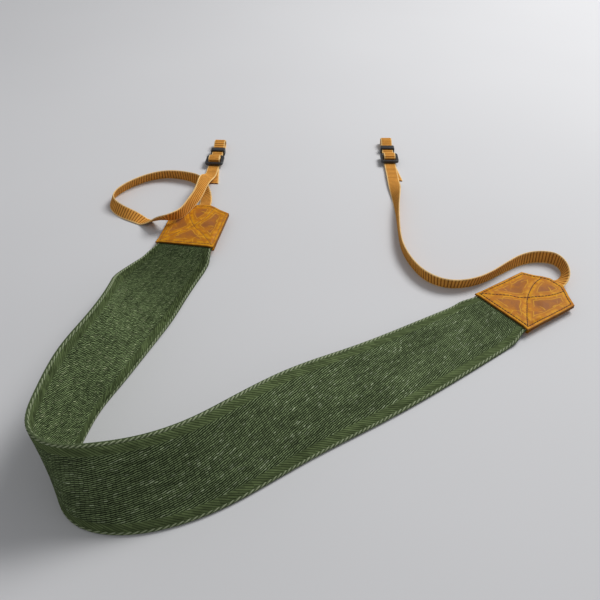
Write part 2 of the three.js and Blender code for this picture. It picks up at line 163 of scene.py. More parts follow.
RIGHT_ROWS = (
    Row(0.467, -0.004, 40),
    Row(0.475, 0.014, 72),
    Row(0.475, 0.034, 84),
    Row(0.465, 0.05, 84),
    Row(0.445, 0.056, 82),
    Row(0.404, 0.05, 84),
    Row(0.377, 0.036, 88),
    Row(0.344, 0.014, 96),
    Row(0.305, -0.01, 102),
    Row(0.27, -0.022, 105),
    Row(0.231, -0.022, 105),
    Row(0.203, -0.008, 101),
    Row(0.173, 0.037, 98),
    Row(0.16, 0.088, 94),
    Row(0.16, 0.15, 90),
    Row(0.165, 0.22, 78),
    Row(0.17, 0.3, 34, over_tail=0.7),
    Row(0.171, 0.35, 0, over_tail=1),
    Row(0.171, 0.385, 0, over_tail=1),
    Row(0.171, 0.42, 0, over_tail=1),
)


class Spline:
    """A natural cubic through values at rising knots."""

    def __init__(self, knots: Points, values: Points) -> None:
        """Solves for the second derivatives.

        Args:
            knots: rising places of the values.
            values: the values there.
        """
        self.knots = knots
        self.values = values
        count = len(knots)
        spans = np.diff(knots)
        slopes = np.diff(values) / spans
        system = np.eye(count)
        target = np.zeros(count)
        for i in range(1, count - 1):
            system[i, i - 1 : i + 2] = spans[i - 1], 2 * (spans[i - 1] + spans[i]), spans[i]
            target[i] = 6 * (slopes[i] - slopes[i - 1])
        self.bends = np.linalg.solve(system, target)

    def at(self, places: Points) -> Points:
        """The curve's values.

        Args:
            places: places along the knots.

        Returns:
            One value for each place.
        """
        i = np.clip(np.searchsorted(self.knots, places) - 1, 0, len(self.knots) - 2)
        span = self.knots[i + 1] - self.knots[i]
        b = (places - self.knots[i]) / span
        a = 1 - b
        bend = ((a**3 - a) * self.bends[i] + (b**3 - b) * self.bends[i + 1]) * span**2 / 6
        return a * self.values[i] + b * self.values[i + 1] + bend


@dataclass(frozen=True)
class Stations:
    """Cross-sections of a strip along its route, one row each."""

    centre: Points
    ahead: Points
    side: Points
    lean: Points
    curl: Points


class Route:
    """A strip's way across the floor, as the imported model's source lays it."""

    def __init__(
        self,
        columns: dict[str, Points],
        width: float,
        half_at: Callable[[Points], Points],
        samples: int = 1500,
    ) -> None:
        """Fits the curves and measures the way's length.

        Args:
            columns: at each knot, its place to the right, x, and away, y; lean, the width's angle over the
                floor, and curl, how much more the far edge leans than the near one, both in degrees; and
                rise, how high the lowest edge is.
            width: the strip's width.
            half_at: half the stack's thickness at a distance from the nearer end.
            samples: how many steps the length is measured in.
        """
        self.width = width
        self.half_at = half_at
        self.samples = samples
        knots = run_lengths(np.stack([columns["x"], columns["y"]], axis=-1))
        self.columns = {name: Spline(knots, values) for name, values in columns.items()}
        self.end = knots[-1]
        plan = self.plan(np.linspace(0.0, self.end, samples + 1))
        self.lengths = run_lengths(plan)
        self.length = float(self.lengths[-1])

    def plan(self, places: Points) -> Points:
        """Places on the floor plan, one row for each of the spline's places."""
        return np.stack([self.columns["x"].at(places), self.columns["y"].at(places)], axis=-1)

    def stations(self, lengths: Points) -> Stations:
        """Cross-sections at lengths along the way.

        Args:
            lengths: distances from the start.

        Returns:
            The cross-sections, each resting its lowest edge at the height that the table gives.
        """
        places = np.interp(lengths, self.lengths, np.linspace(0.0, self.end, self.samples + 1))
        step = self.end / self.samples
        ahead = self.plan(places + step) - self.plan(places - step)
        ahead /= np.linalg.norm(ahead, axis=1, keepdims=True)
        flat = np.zeros(len(places))
        centre = np.stack([*self.plan(places).T, flat], axis=-1)
        made = Stations(
            centre=centre,
            ahead=np.stack([ahead[:, 0], ahead[:, 1], flat], axis=-1),
            side=np.stack([ahead[:, 1], -ahead[:, 0], flat], axis=-1),
            lean=np.radians(self.columns["lean"].at(places)),
            curl=np.radians(self.columns["curl"].at(places)),
        )
        half = self.half_at(np.minimum(lengths, self.length - lengths))
        across = np.tile(np.linspace(-0.5, 0.5, WIDTH_POINTS) * self.width, 2)
        offset = np.outer(half, np.repeat([-1.0, 1.0], WIDTH_POINTS))
        lowest = self.points(made, across[None, :] + 0 * offset, offset)[:, :, 2].min(axis=1)
        centre[:, 2] = np.maximum(self.columns["rise"].at(places), 0.0) - lowest
        return made

    def points(self, stations: Stations, across: Points, offset: Points) -> Points:
        """Points of the strip.

        Args:
            stations: the cross-sections.
            across: distances from the middle line, one row for each cross-section.
            offset: distances off the middle surface, of the same shape.

        Returns:
            The points, as rows of rows of x, y and z.
        """
        lean = stations.lean[:, None]
        angle = lean + stations.curl[:, None] * across / self.width
        middle = (lean + angle) / 2
        spread = np.sinc((angle - lean) / (2 * np.pi))
        beside = across * spread * np.cos(middle) - offset * np.sin(angle)
        above = across * spread * np.sin(middle) + offset * np.cos(angle)
        centre = stations.centre[:, None, :]
        return centre + stations.side[:, None, :] * beside[..., None] + UP * above[..., None]


@dataclass(frozen=True)
class Strip:
    """A narrow strip's straight cross-sections: its middle, and the way of its width."""

    middle: Points
    width_way: Points


def select_only(obj: bpy.types.Object) -> None:
    """Makes one object the only selected one, and the active one.

    Args:
        obj: the object.
    """
    bpy.ops.object.select_all(action="DESELECT")
    obj.select_set(True)
    bpy.context.view_layer.objects.active = obj


def add_object(adder: Callable[..., object], name: str, **settings: object) -> bpy.types.Object:
    """Adds an object with nothing else selected, and names it.

    Args:
        adder: the operator that adds it.
        name: its name.
        settings: the operator's values by name.

    Returns:
        The new object.
    """
    bpy.ops.object.select_all(action="DESELECT")
    adder(**settings)
    obj = bpy.context.object
    obj.name = name
    obj.data.name = name
    return obj


def apply_modifier(obj: bpy.types.Object, kind: str, **settings: object) -> None:
    """Adds a modifier and applies it.

    Args:
        obj: the piece.
        kind: the modifier's type.
        settings: its values by name.
    """
    select_only(obj)
    bpy.ops.object.modifier_add(type=kind)
    modifier = obj.modifiers[-1]
    for name, value in settings.items():
        setattr(modifier, name, value)
    bpy.ops.object.modifier_apply(modifier=modifier.name)


def shade_smooth(obj: bpy.types.Object, degrees: float) -> None:
    """Shades a piece smooth, apart from the edges that are sharper than an angle."""
    select_only(obj)
    bpy.ops.object.shade_smooth_by_angle(angle=math.radians(degrees))


def coordinates(mesh: bpy.types.Mesh) -> Points:
    """Reads a mesh's vertices.

    Args:
        mesh: the mesh.

    Returns:
        The vertices, one row each.
    """
    flat = np.zeros(len(mesh.vertices) * 3)
    mesh.vertices.foreach_get("co", flat)
    return flat.reshape(-1, 3)


def move_vertices(mesh: bpy.types.Mesh, points: Points) -> None:
    """Puts a mesh's vertices at new points."""
    mesh.vertices.foreach_set("co", np.asarray(points, np.float32).ravel())
    mesh.update()


def map_cloth(mesh: bpy.types.Mesh, along: Points, across: Points) -> None:
    """Gives a mesh the UV map of its cloth, in metres.

    Args:
        mesh: the mesh, which has a UV map already.
        along: each vertex's distance along the cloth.
        across: each vertex's distance from the middle line.
    """
    corners = np.zeros(len(mesh.loops), np.int32)
    mesh.loops.foreach_get("vertex_index", corners)
    pairs = np.stack([along[corners], across[corners]], axis=-1)
    mesh.uv_layers[0].data.foreach_set("uv", pairs.astype(np.float32).ravel())


def paint(mesh: bpy.types.Mesh, name: str, values: Points) -> None:
    """Keeps a value for each vertex as a named attribute."""
    attribute = mesh.attributes.new(name, "FLOAT", "POINT")
    attribute.data.foreach_set("value", np.asarray(values, np.float32))


def thicken(obj: bpy.types.Object, thickness: float, weights: Points, **settings: object) -> None:
    """Gives a laid grid its thickness, half on each side.

    Args:
        obj: the piece.
        thickness: how thick it is where its weight is 1.
        weights: each vertex's share of the thickness.
        settings: the modifier's other values by name.
    """
    group = obj.vertex_groups.new(name="thickness")
    for index, weight in enumerate(weights.tolist()):
        group.add([index], weight, "REPLACE")
    apply_modifier(obj, "SOLIDIFY", thickness=thickness, offset=0.0, vertex_group=group.name, **settings)


@dataclass
class LaidGrid:
    """A grid primitive that is to be laid on a route, and where each of its vertices is on the cloth."""

    obj: bpy.types.Object
    ring: Points
    column: Points

    def lay(self, points: Points) -> None:
        """Puts the grid's vertices at points given as rings of columns."""
        move_vertices(self.obj.data, points[self.ring, self.column] + LAY_SHIFT)


def new_grid(name: str, rings: int, columns: int) -> LaidGrid:
    """Adds a grid primitive with one ring of vertices for each cross-section.

    Args:
        name: the piece's name.
        rings: how many cross-sections.
        columns: how many vertices each has.

    Returns:
        The grid, and each vertex's ring and column.
    """
    steps = {"x_subdivisions": rings - 1, "y_subdivisions": columns - 1}
    obj = add_object(bpy.ops.mesh.primitive_grid_add, name, size=2.0, **steps)
    share = (coordinates(obj.data) + 1) / 2
    ring = np.rint(share[:, 0] * (rings - 1)).astype(int)
    column = np.rint(share[:, 1] * (columns - 1)).astype(int)
    return LaidGrid(obj, ring, column)


def node_operator(operation: str, swapped: bool = False) -> Callable[..., "Signal"]:
    """Makes an arithmetic operator of signals.

    Args:
        operation: the Math node's operation.
        swapped: whether the signal is the second of the two values.

    Returns:
        A method that adds the node.
    """

    def method(signal: "Signal", *others: "Value") -> "Signal":
        """Adds the Math node and gives its result."""
        return signal.sheet.maths(operation, *((*others, signal) if swapped else (signal, *others)))

    return method


@dataclass(frozen=True)
class Signal:
    """A value in a material's nodes, which sums are written with as with a number."""

    sheet: "NodeSheet"
    socket: bpy.types.NodeSocket

    __add__ = node_operator("ADD")
    __sub__ = node_operator("SUBTRACT")
    __rsub__ = node_operator("SUBTRACT", swapped=True)
    __mul__ = node_operator("MULTIPLY")
    __truediv__ = node_operator("DIVIDE")
    __abs__ = node_operator("ABSOLUTE")
    __floor__ = node_operator("FLOOR")


Value = Signal | float | Colour
Inputs = dict[int | str, Value]


class NodeSheet:
    """A material's nodes, written as plain sums."""

    def __init__(self, name: str) -> None:
        """Starts a material with its shader and output alone.

        Args:
            name: the material's name.
        """
        self.material = bpy.data.materials.new(name)
        self.material.use_nodes = True
        self.nodes = self.material.node_tree.nodes
        self.links = self.material.node_tree.links
        self.shader = self.nodes["Principled BSDF"]

    def node(self, kind: str, inputs: Inputs, out: int | str = 0, **settings: object) -> Signal:
        """Adds a node.

        Args:
            kind: the node's type.
            inputs: what goes into it, by the input's number or name.
            out: the output that is wanted.
            settings: its properties by name.

        Returns:
            The output.
        """
        made = self.nodes.new(kind)
        for name, value in settings.items():
            setattr(made, name, value)
        for key, value in inputs.items():
            self.feed(made.inputs[key], value)
        return Signal(self, made.outputs[out])

    def feed(self, socket: bpy.types.NodeSocket, value: Value) -> None:
        """Links an input to a signal, or sets its value.

        Args:
            socket: the input.
            value: a signal, a number or a colour.
        """
        if isinstance(value, Signal):
            self.links.new(value.socket, socket)
        elif isinstance(value, tuple):
            socket.default_value = (*value, 1.0)
        else:
            socket.default_value = value

    def maths(self, operation: str, *values: Value) -> Signal:
        """A Math node's result."""
        return self.node("ShaderNodeMath", dict(enumerate(values)), operation=operation)

    def mixed(self, share: Value, low: Value, high: Value) -> Signal:
        """A colour that goes from low to high as share goes from 0 to 1."""
        return self.node("ShaderNodeMix", {0: share, 6: low, 7: high}, out=2, data_type="RGBA")

    def toned(self, colour: Value, tone: Value) -> Signal:
        """A colour made lighter or darker."""
        return self.node("ShaderNodeHueSaturation", {"Color": colour, "Value": tone})

    def arch(self, place: Signal) -> Signal:
        """A row of arches, each one unit long and one high."""
        return abs(self.maths("SINE", place * math.pi))

    def between(self, value: Signal, low: float, high: float) -> Signal:
        """A smooth step from 0 at low to 1 at high."""
        return self.node("ShaderNodeMapRange", {0: value, 1: low, 2: high}, interpolation_type="SMOOTHSTEP")

    def cloth(self) -> tuple[Signal, Signal]:
        """Reads the cloth's own coordinates, in metres.

        Returns:
            The distance along it, and the one across it from the middle.
        """
        pair = {0: self.node("ShaderNodeUVMap", {})}
        along, across = (self.node("ShaderNodeSeparateXYZ", pair, out=axis) for axis in range(2))
        return along, across

    def inside(self) -> Signal:
        """The piece's own coordinates."""
        return self.node("ShaderNodeTexCoord", {}, out="Object")

    def place(self, x: Value, y: Value, z: Value = 0.0) -> Signal:
        """A point made of three values."""
        return self.node("ShaderNodeCombineXYZ", {0: x, 1: y, 2: z})

    def noise(self, where: Signal, scale: float, detail: float = 2.0, rough: float = 0.5) -> Signal:
        """Cloudy noise round 0.5: where it is read, how fine it is, its finer layers and their strength."""
        inputs = {"Vector": where, "Scale": scale, "Detail": detail, "Roughness": rough}
        return self.node("ShaderNodeTexNoise", inputs)

    def chance(self, x: Value, y: Value, z: Value = 0.0) -> Signal:
        """A random value for each point, the same each time."""
        return self.node("ShaderNodeTexWhiteNoise", {"Vector": self.place(x, y, z)}, noise_dimensions="3D")

    def cracks(self, where: Signal, scale: float) -> Signal:
        """Draws lines between scattered cells.

        Args:
            where: the point they are read at.
            scale: how small the cells are.

        Returns:
            The distance to the nearest line.
        """
        settings = {"feature": "DISTANCE_TO_EDGE", "voronoi_dimensions": "2D"}
        inputs = {"Vector": where, "Scale": scale}
        return self.node("ShaderNodeTexVoronoi", inputs, out="Distance", **settings)

    def attribute(self, name: str) -> Signal:
        """A mesh attribute's value."""
        return self.node("ShaderNodeAttribute", {}, out="Fac", attribute_name=name)

    def finish(self, relief: Signal, depth: float, **values: Value) -> bpy.types.Material:
        """Gives the shader its relief and its other inputs.

        Args:
            relief: the relief, 0 to 1.
            depth: how far apart 0 and 1 are.
            values: the shader's inputs by name, with _ for a space.

        Returns:
            The material.
        """
        values["Normal"] = self.node("ShaderNodeBump", {"Strength": 1.0, "Distance": depth, "Height": relief})
        for name, value in values.items():
            self.feed(self.shader.inputs[name.replace("_", " ")], value)
        return self.material


def blend(share: Signal, low: Value, high: Value) -> Signal:
    """A value that goes from low to high as share goes from 0 to 1."""
    return share * (high - low) + low


class Face(Enum):
    """A face of the woven band."""

    INNER = "inner"
    OUTER = "outer"


@dataclass(frozen=True)
class BandWeave:
    """The band's weave: a field of short slanting floats between two border stripes of a finer twill.

    The pairs called shapes are where each wave of the weave starts to rise and where it is full.
    """

    face: Face
    # Each colour pair gives the yarns' tops and a darker colour. The darker colour is painted shade: it fills
    # the gaps between floats and between twill lines.
    field_colour: Colour
    field_painted_shade: Colour
    border_colour: Colour
    border_painted_shade: Colour
    fleck_colour: Colour
    flecked: float = 0.6
    fleck_shape: Span = (0.98, 1.14)
    # Painted shade: how dark the face is painted towards each end, where the cloth leans away from the light,
    # and the reach over which this fades.
    painted_end_shade: float = 1.0
    painted_end_shade_reach: Span = (mm(45), mm(130))
    length: float = mm(563)
    width: float = mm(50)
    rib: float = mm(1.1)
    rib_shape: Span = (0.32, 0.98)
    slope: float = 0.24
    lump: float = mm(0.9)
    float_length: float = mm(2.2)
    float_shape: Span = (0.0, 0.6)
    float_low: float = 0.55
    float_shift: float = 0.3
    drift: float = mm(3)
    border_width: float = mm(6.5)
    border_blur: float = mm(0.4)
    twill: float = mm(1.5)
    twill_slope: float = 0.6
    twill_shape: Span = (0.1, 0.9)
    twill_range: Span = (0.25, 0.83)
    border_luck: Span = (0.05, 0.95)
    luck_depth: float = 0.55
    base_tone: float = 0.195
    cloud_tone: float = 0.7
    streak_tone: float = 0.9
    relief: float = mm(0.3)
    wander_scale: float = 300.0
    cloud_scale: float = 45.0
    streak_scale: float = 420.0
    streak_stretch: float = 0.06
    streak_flecks: float = 0.25
    fibre_scale: float = 3200.0
    fibre_relief: float = 0.35
    float_seed: float = 3.0
    border_seed: float = 7.0
    fleck_seed: float = 5.0

    def material(self) -> bpy.types.Material:
        """Builds the weave from the cloth's own coordinates.

        Returns:
            The material.
        """
        sheet = NodeSheet(f"band_weave_{self.face.value}")
        along, across = sheet.cloth()
        where = sheet.place(along, across)
        wander = sheet.noise(where, self.wander_scale, 1.0) - 0.5
        drift = wander * self.drift + along

        rib_place = (along * -self.slope + (wander * self.lump + across)) / self.rib
        rib_number = math.floor(rib_place)
        float_place = drift / self.float_length + sheet.chance(rib_number, self.float_seed) * self.float_shift
        float_number = math.floor(float_place)
        float_wave = sheet.between(sheet.arch(float_place), *self.float_shape)
        rib_wave = sheet.between(sheet.arch(rib_place), *self.rib_shape)
        field_body = rib_wave * blend(float_wave, self.float_low, 1.0)
        field_luck = sheet.chance(float_number, rib_number)

        twill_place = (along * self.twill_slope + across) / self.twill
        twill_body = blend(sheet.between(sheet.arch(twill_place), *self.twill_shape), *self.twill_range)
        twill_step = math.floor(drift / (2 * self.float_length))
        twill_chance = sheet.chance(math.floor(twill_place), twill_step, self.border_seed)
        twill_luck = blend(twill_chance, *self.border_luck)

        start = self.width / 2 - self.border_width
        border = sheet.between(abs(across), start - self.border_blur, start + self.border_blur)
        body = blend(border, field_body, twill_body)
        luck = blend(border, field_luck, twill_luck)

        streak = sheet.noise(sheet.place(along * self.streak_stretch, across), self.streak_scale)
        clouds = sheet.noise(where, self.cloud_scale, 3.0) * self.cloud_tone + streak * self.streak_tone
        tone = luck * self.luck_depth + (clouds + (self.base_tone - self.luck_depth / 2))
        # Painted shade: the face is darkened towards both ends, where the cloth near the tabs leans away from
        # the light.
        from_end = sheet.maths("MINIMUM", along, self.length - along)
        tone = tone * blend(sheet.between(from_end, *self.painted_end_shade_reach), self.painted_end_shade, 1.0)

        # Painted shade: where the weave's relief is low, in the gaps between floats and twill lines, the
        # colour goes to the near-black dark colour.
        light = sheet.mixed(border, self.field_colour, self.border_colour)
        dark = sheet.mixed(border, self.field_painted_shade, self.border_painted_shade)
        speck = streak * self.streak_flecks + sheet.chance(float_number, rib_number, self.fleck_seed)
        fleck = sheet.between(speck, *self.fleck_shape) * body * self.flecked * (1.0 - border)
        colour = sheet.mixed(fleck, sheet.mixed(body, dark, light), self.fleck_colour)
        return sheet.finish(
            sheet.noise(where, self.fibre_scale) * self.fibre_relief + body,
            self.relief,
            Base_Color=sheet.toned(colour, tone),
            Roughness=0.95,
            Specular_IOR_Level=0.03,
        )


@dataclass(frozen=True)
class Mottled:
    """A plain finish of two tones, mottled by its fine grain and by soft clouds."""

    name: str
    shade: Colour
    colour: Colour
    grain: float
    relief: float
    roughness: float
    grain_share: float = 1.0
    clouds: float = 90.0
    cloud_share: float = 0.0
    cloud_roughness: float = 0.0

    def material(self) -> bpy.types.Material:
        """Builds the finish from the piece's own coordinates.

        Returns:
            The material.
        """
        sheet = NodeSheet(self.name)
        grain = sheet.noise(sheet.inside(), self.grain)
        cloud = sheet.noise(sheet.inside(), self.clouds)
        share = grain * self.grain_share + cloud * self.cloud_share
        colour = sheet.mixed(share, self.shade, self.colour)
        roughness = self.roughness
        if self.cloud_roughness:
            roughness = cloud * self.cloud_roughness + self.roughness
        return sheet.finish(grain, self.relief, Base_Color=colour, Roughness=roughness)


@dataclass(frozen=True)
class Leather:
    """Oiled leather: brown in the middle of each panel, yellow where it is pulled, with pale creases.

    The pairs called reaches are the distances from a seam or an edge at which a tone starts and is full. The
    others are the values of the noise at which it does.
    """

    colour: Colour = (0.475, 0.166, 0.005)
    panel: Colour = (0.31, 0.108, 0.026)
    pulled: Colour = (0.68, 0.30, 0.004)
    crease: Colour = (0.74, 0.37, 0.020)
    burnish: Colour = (0.10, 0.028, 0.004)
    wander: float = mm(3)
    panel_reach: Span = (mm(1.8), mm(6.8))
    panel_clouds: Span = (0.26, 0.62)
    pulled_reach: Span = (mm(3.8), mm(1.2))
    pulled_streaks: Span = (0.38, 0.60)
    ridge_place: float = mm(4.2)
    ridge_reach: Span = (mm(0.55), 0.0)
    ridge_clouds: Span = (0.40, 0.52)
    crease_bend: Span = (mm(14), mm(-12))
    crease_width: Span = (0.05, 0.0)
    crease_clouds: Span = (0.46, 0.64)
    worn_reach: Span = (mm(1.1), mm(0.3))
    burnish_reach: Span = (mm(0.7), 0.0)
    cloud_scale: float = 95.0
    grain_scale: float = 1500.0
    wander_scale: float = 110.0
    streak_scale: float = 210.0
    bend_scale: float = 60.0
    crease_scale: float = 70.0
    seen_scale: float = 120.0
    panel_strength: float = 0.95
    pulled_strength: float = 0.85
    crease_strength: float = 0.7
    worn_strength: float = 0.25
    burnish_strength: float = 0.75
    tone_range: Span = (0.75, 1.25)
    roughness_range: Span = (0.50, 0.75)
    grain_relief: float = 0.35
    crease_relief: float = 0.4
    relief: float = mm(0.25)

    def material(self) -> bpy.types.Material:
        """Builds the leather from the piece's own coordinates and its distances to edge and seam.

        Returns:
            The material.
        """
        sheet = NodeSheet("tab_leather")
        along, across = sheet.cloth()
        where = sheet.place(along, across)
        cloud = sheet.noise(where, self.cloud_scale, 3.0, 0.55)
        grain = sheet.noise(where, self.grain_scale, 3.0, 0.6)
        edge = sheet.attribute("edge")
        from_seam = sheet.attribute("seam") + (sheet.noise(where, self.wander_scale) - 0.5) * self.wander

        panel = sheet.between(from_seam, *self.panel_reach) * sheet.between(cloud, *self.panel_clouds)
        streaks = sheet.between(sheet.noise(where, self.streak_scale), *self.pulled_streaks)
        pulled = sheet.between(from_seam, *self.pulled_reach) * streaks
        from_ridge = abs(from_seam - self.ridge_place)
        ridge = sheet.between(from_ridge, *self.ridge_reach) * sheet.between(cloud, *self.ridge_clouds)
        bend = sheet.noise(where, self.bend_scale)
        bent = sheet.place(bend * self.crease_bend[0] + along, bend * self.crease_bend[1] + across)
        seen = sheet.between(sheet.noise(where, self.seen_scale, 1.0), *self.crease_clouds)
        line = sheet.between(sheet.cracks(bent, self.crease_scale), *self.crease_width)
        crease = sheet.maths("MAXIMUM", ridge, line * seen)

        colour = self.colour
        for share, strength, coat in (
            (panel, self.panel_strength, self.panel),
            (pulled, self.pulled_strength, self.pulled),
            (crease, self.crease_strength, self.crease),
            (sheet.between(edge, *self.worn_reach), self.worn_strength, self.pulled),
            (sheet.between(edge, *self.burnish_reach), self.burnish_strength, self.burnish),
        ):
            colour = sheet.mixed(share * strength, colour, coat)
        return sheet.finish(
            crease * self.crease_relief + (grain * self.grain_relief + cloud),
            self.relief,
            Base_Color=sheet.toned(colour, blend(grain, *self.tone_range)),
            Roughness=blend(grain, *self.roughness_range),
            Specular_IOR_Level=0.18,
        )


@dataclass(frozen=True)
class WebbingWeave:
    """Ribbed webbing with paler edges."""

    rib_colour: Colour = (0.72, 0.33, 0.06)
    # The colour in the grooves between ribs is painted shade.
    groove_painted_shade: Colour = (0.29, 0.100, 0.012)
    edge_colour: Colour = (0.93, 0.66, 0.29)
    edge_strength: float = 0.75
    width: float = mm(10)
    edge_reach: Span = (mm(1.1), mm(0.4))
    rib: float = mm(2.4)
    rib_shape: Span = (-0.95, 0.1)
    warp: float = mm(0.55)
    relief: float = mm(0.15)
    cloud_scale: float = 130.0
    yarn_scale: float = 2600.0
    yarn_stretch: float = 0.2
    yarn_relief: float = 0.5
    warp_relief: float = 0.5
    base_tone: float = 0.45
    cloud_tone: float = 0.6
    yarn_tone: float = 0.5

    def material(self) -> bpy.types.Material:
        """Builds the weave from the webbing's own coordinates.

        Returns:
            The material.
        """
        sheet = NodeSheet("webbing_weave")
        along, across = sheet.cloth()
        rib = sheet.between(sheet.maths("SINE", along * (2 * math.pi / self.rib)), *self.rib_shape)
        rim = sheet.between(abs(across), *(self.width / 2 - reach for reach in self.edge_reach))
        cloud = sheet.noise(sheet.place(along, across), self.cloud_scale, 3.0)
        yarn = sheet.noise(sheet.place(along * self.yarn_stretch, across), self.yarn_scale, 1.0)
        # Painted shade: the colour darkens to the groove colour where the ribs dip between them.
        colour = sheet.mixed(rib, self.groove_painted_shade, self.rib_colour)
        colour = sheet.mixed(rim * self.edge_strength, colour, self.edge_colour)
        tone = yarn * self.yarn_tone + (cloud * self.cloud_tone + self.base_tone)
        return sheet.finish(
            yarn * self.yarn_relief + sheet.arch(across / self.warp) * self.warp_relief,
            self.relief,
            Base_Color=sheet.toned(colour, tone),
            Roughness=0.9,
            Specular_IOR_Level=0.15,
        )


class Finishes:
    """The strap's materials, each built once."""

    def __init__(self) -> None:
        """Builds the materials."""
        # On each face, the darker field and border colours are painted shade for the gaps in the weave.
        outer = BandWeave(
            face=Face.OUTER,
            field_colour=(0.180, 0.236, 0.112),
            field_painted_shade=(0.002, 0.006, 0.001),
            border_colour=(0.122, 0.160, 0.068),
            border_painted_shade=(0.024, 0.038, 0.013),
            fleck_colour=(0.42, 0.49, 0.31),
        )
        inner = BandWeave(
            face=Face.INNER,
            field_colour=(0.196, 0.262, 0.118),
            field_painted_shade=(0.008, 0.016, 0.004),
            border_colour=(0.112, 0.150, 0.062),
            border_painted_shade=(0.020, 0.032, 0.010),
            fleck_colour=(0.42, 0.47, 0.27),
            rib=mm(1.05),
            slope=0.5,
            float_length=mm(1.35),
            # The inner face is painted darker towards its ends, as painted shade.
            painted_end_shade=0.58,
            lump=mm(1.8),
            luck_depth=0.85,
        )
        yarn = {"grain": 2500.0, "relief": mm(0.2), "roughness": 0.9, "grain_share": 0.6, "cloud_share": 0.5}
        thread = {"grain": 3000.0, "relief": mm(0.1), "roughness": 0.6}
        self.band_outer = outer.material()
        self.band_inner = inner.material()
        self.selvedge_light = Mottled(
            "selvedge_light", shade=(0.11, 0.15, 0.06), colour=(0.44, 0.49, 0.31), **yarn
        ).material()
        self.selvedge_dark = Mottled(
            "selvedge_dark", shade=(0.020, 0.034, 0.010), colour=(0.10, 0.14, 0.05), **yarn
        ).material()
        self.leather = Leather().material()
        self.thread_outer = Mottled(
            "tab_thread_outer", shade=(0.040, 0.012, 0.003), colour=(0.110, 0.032, 0.006), **thread
        ).material()
        self.thread_inner = Mottled(
            "tab_thread_inner", shade=(0.22, 0.075, 0.006), colour=(0.62, 0.28, 0.02), **thread
        ).material()
        self.webbing = WebbingWeave().material()
        self.plastic = Mottled(
            "slide_plastic",
            shade=(0.010, 0.010, 0.011),
            colour=(0.030, 0.030, 0.032),
            grain=2200.0,
            relief=mm(0.05),
            roughness=0.22,
            grain_share=0.0,
            clouds=160.0,
            cloud_share=1.0,
            cloud_roughness=0.22,
        ).material()


def show(obj: bpy.types.Object, slot: str, materials: Sequence[bpy.types.Material], *nodes: str) -> None:
    """Gives a piece its materials, lets it ride, and hides the imported nodes that it replaces.

    Args:
        obj: the piece.
        slot: not used.
        materials: the piece's materials, in slot order.
        nodes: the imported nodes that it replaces.
    """
    obj.data.materials.clear()
    for material in materials:
        obj.data.materials.append(material)
    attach(obj, "root")
    if nodes:
        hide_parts(*nodes)
    log.info("%s: %d faces", obj.name, len(obj.data.polygons))


def yarn_along(name: str, runs: Sequence[Points], thickness: float, sides: int = 2) -> bpy.types.Object:
    """Lays round yarn along runs of points.

    Args:
        name: the piece's name.
        runs: each run's points in the lay, one row each.
        thickness: the yarn's thickness.
        sides: the curve's bevel resolution.

    Returns:
        One mesh of all the runs.
    """
    curve = bpy.data.curves.new(name, "CURVE")
    curve.dimensions = "3D"
    curve.bevel_depth = thickness / 2
    curve.bevel_resolution = sides
    curve.use_fill_caps = True
    for run in runs:
        spline = curve.splines.new("POLY")
        spline.points.add(len(run) - 1)
        placed = np.concatenate([run + LAY_SHIFT, np.ones((len(run), 1))], axis=1)
        spline.points.foreach_set("co", placed.astype(np.float32).ravel())
        spline.use_smooth = True
    obj = bpy.data.objects.new(name, curve)
    bpy.context.scene.collection.objects.link(obj)
    select_only(obj)
    bpy.ops.object.convert(target="MESH")
    return bpy.context.object


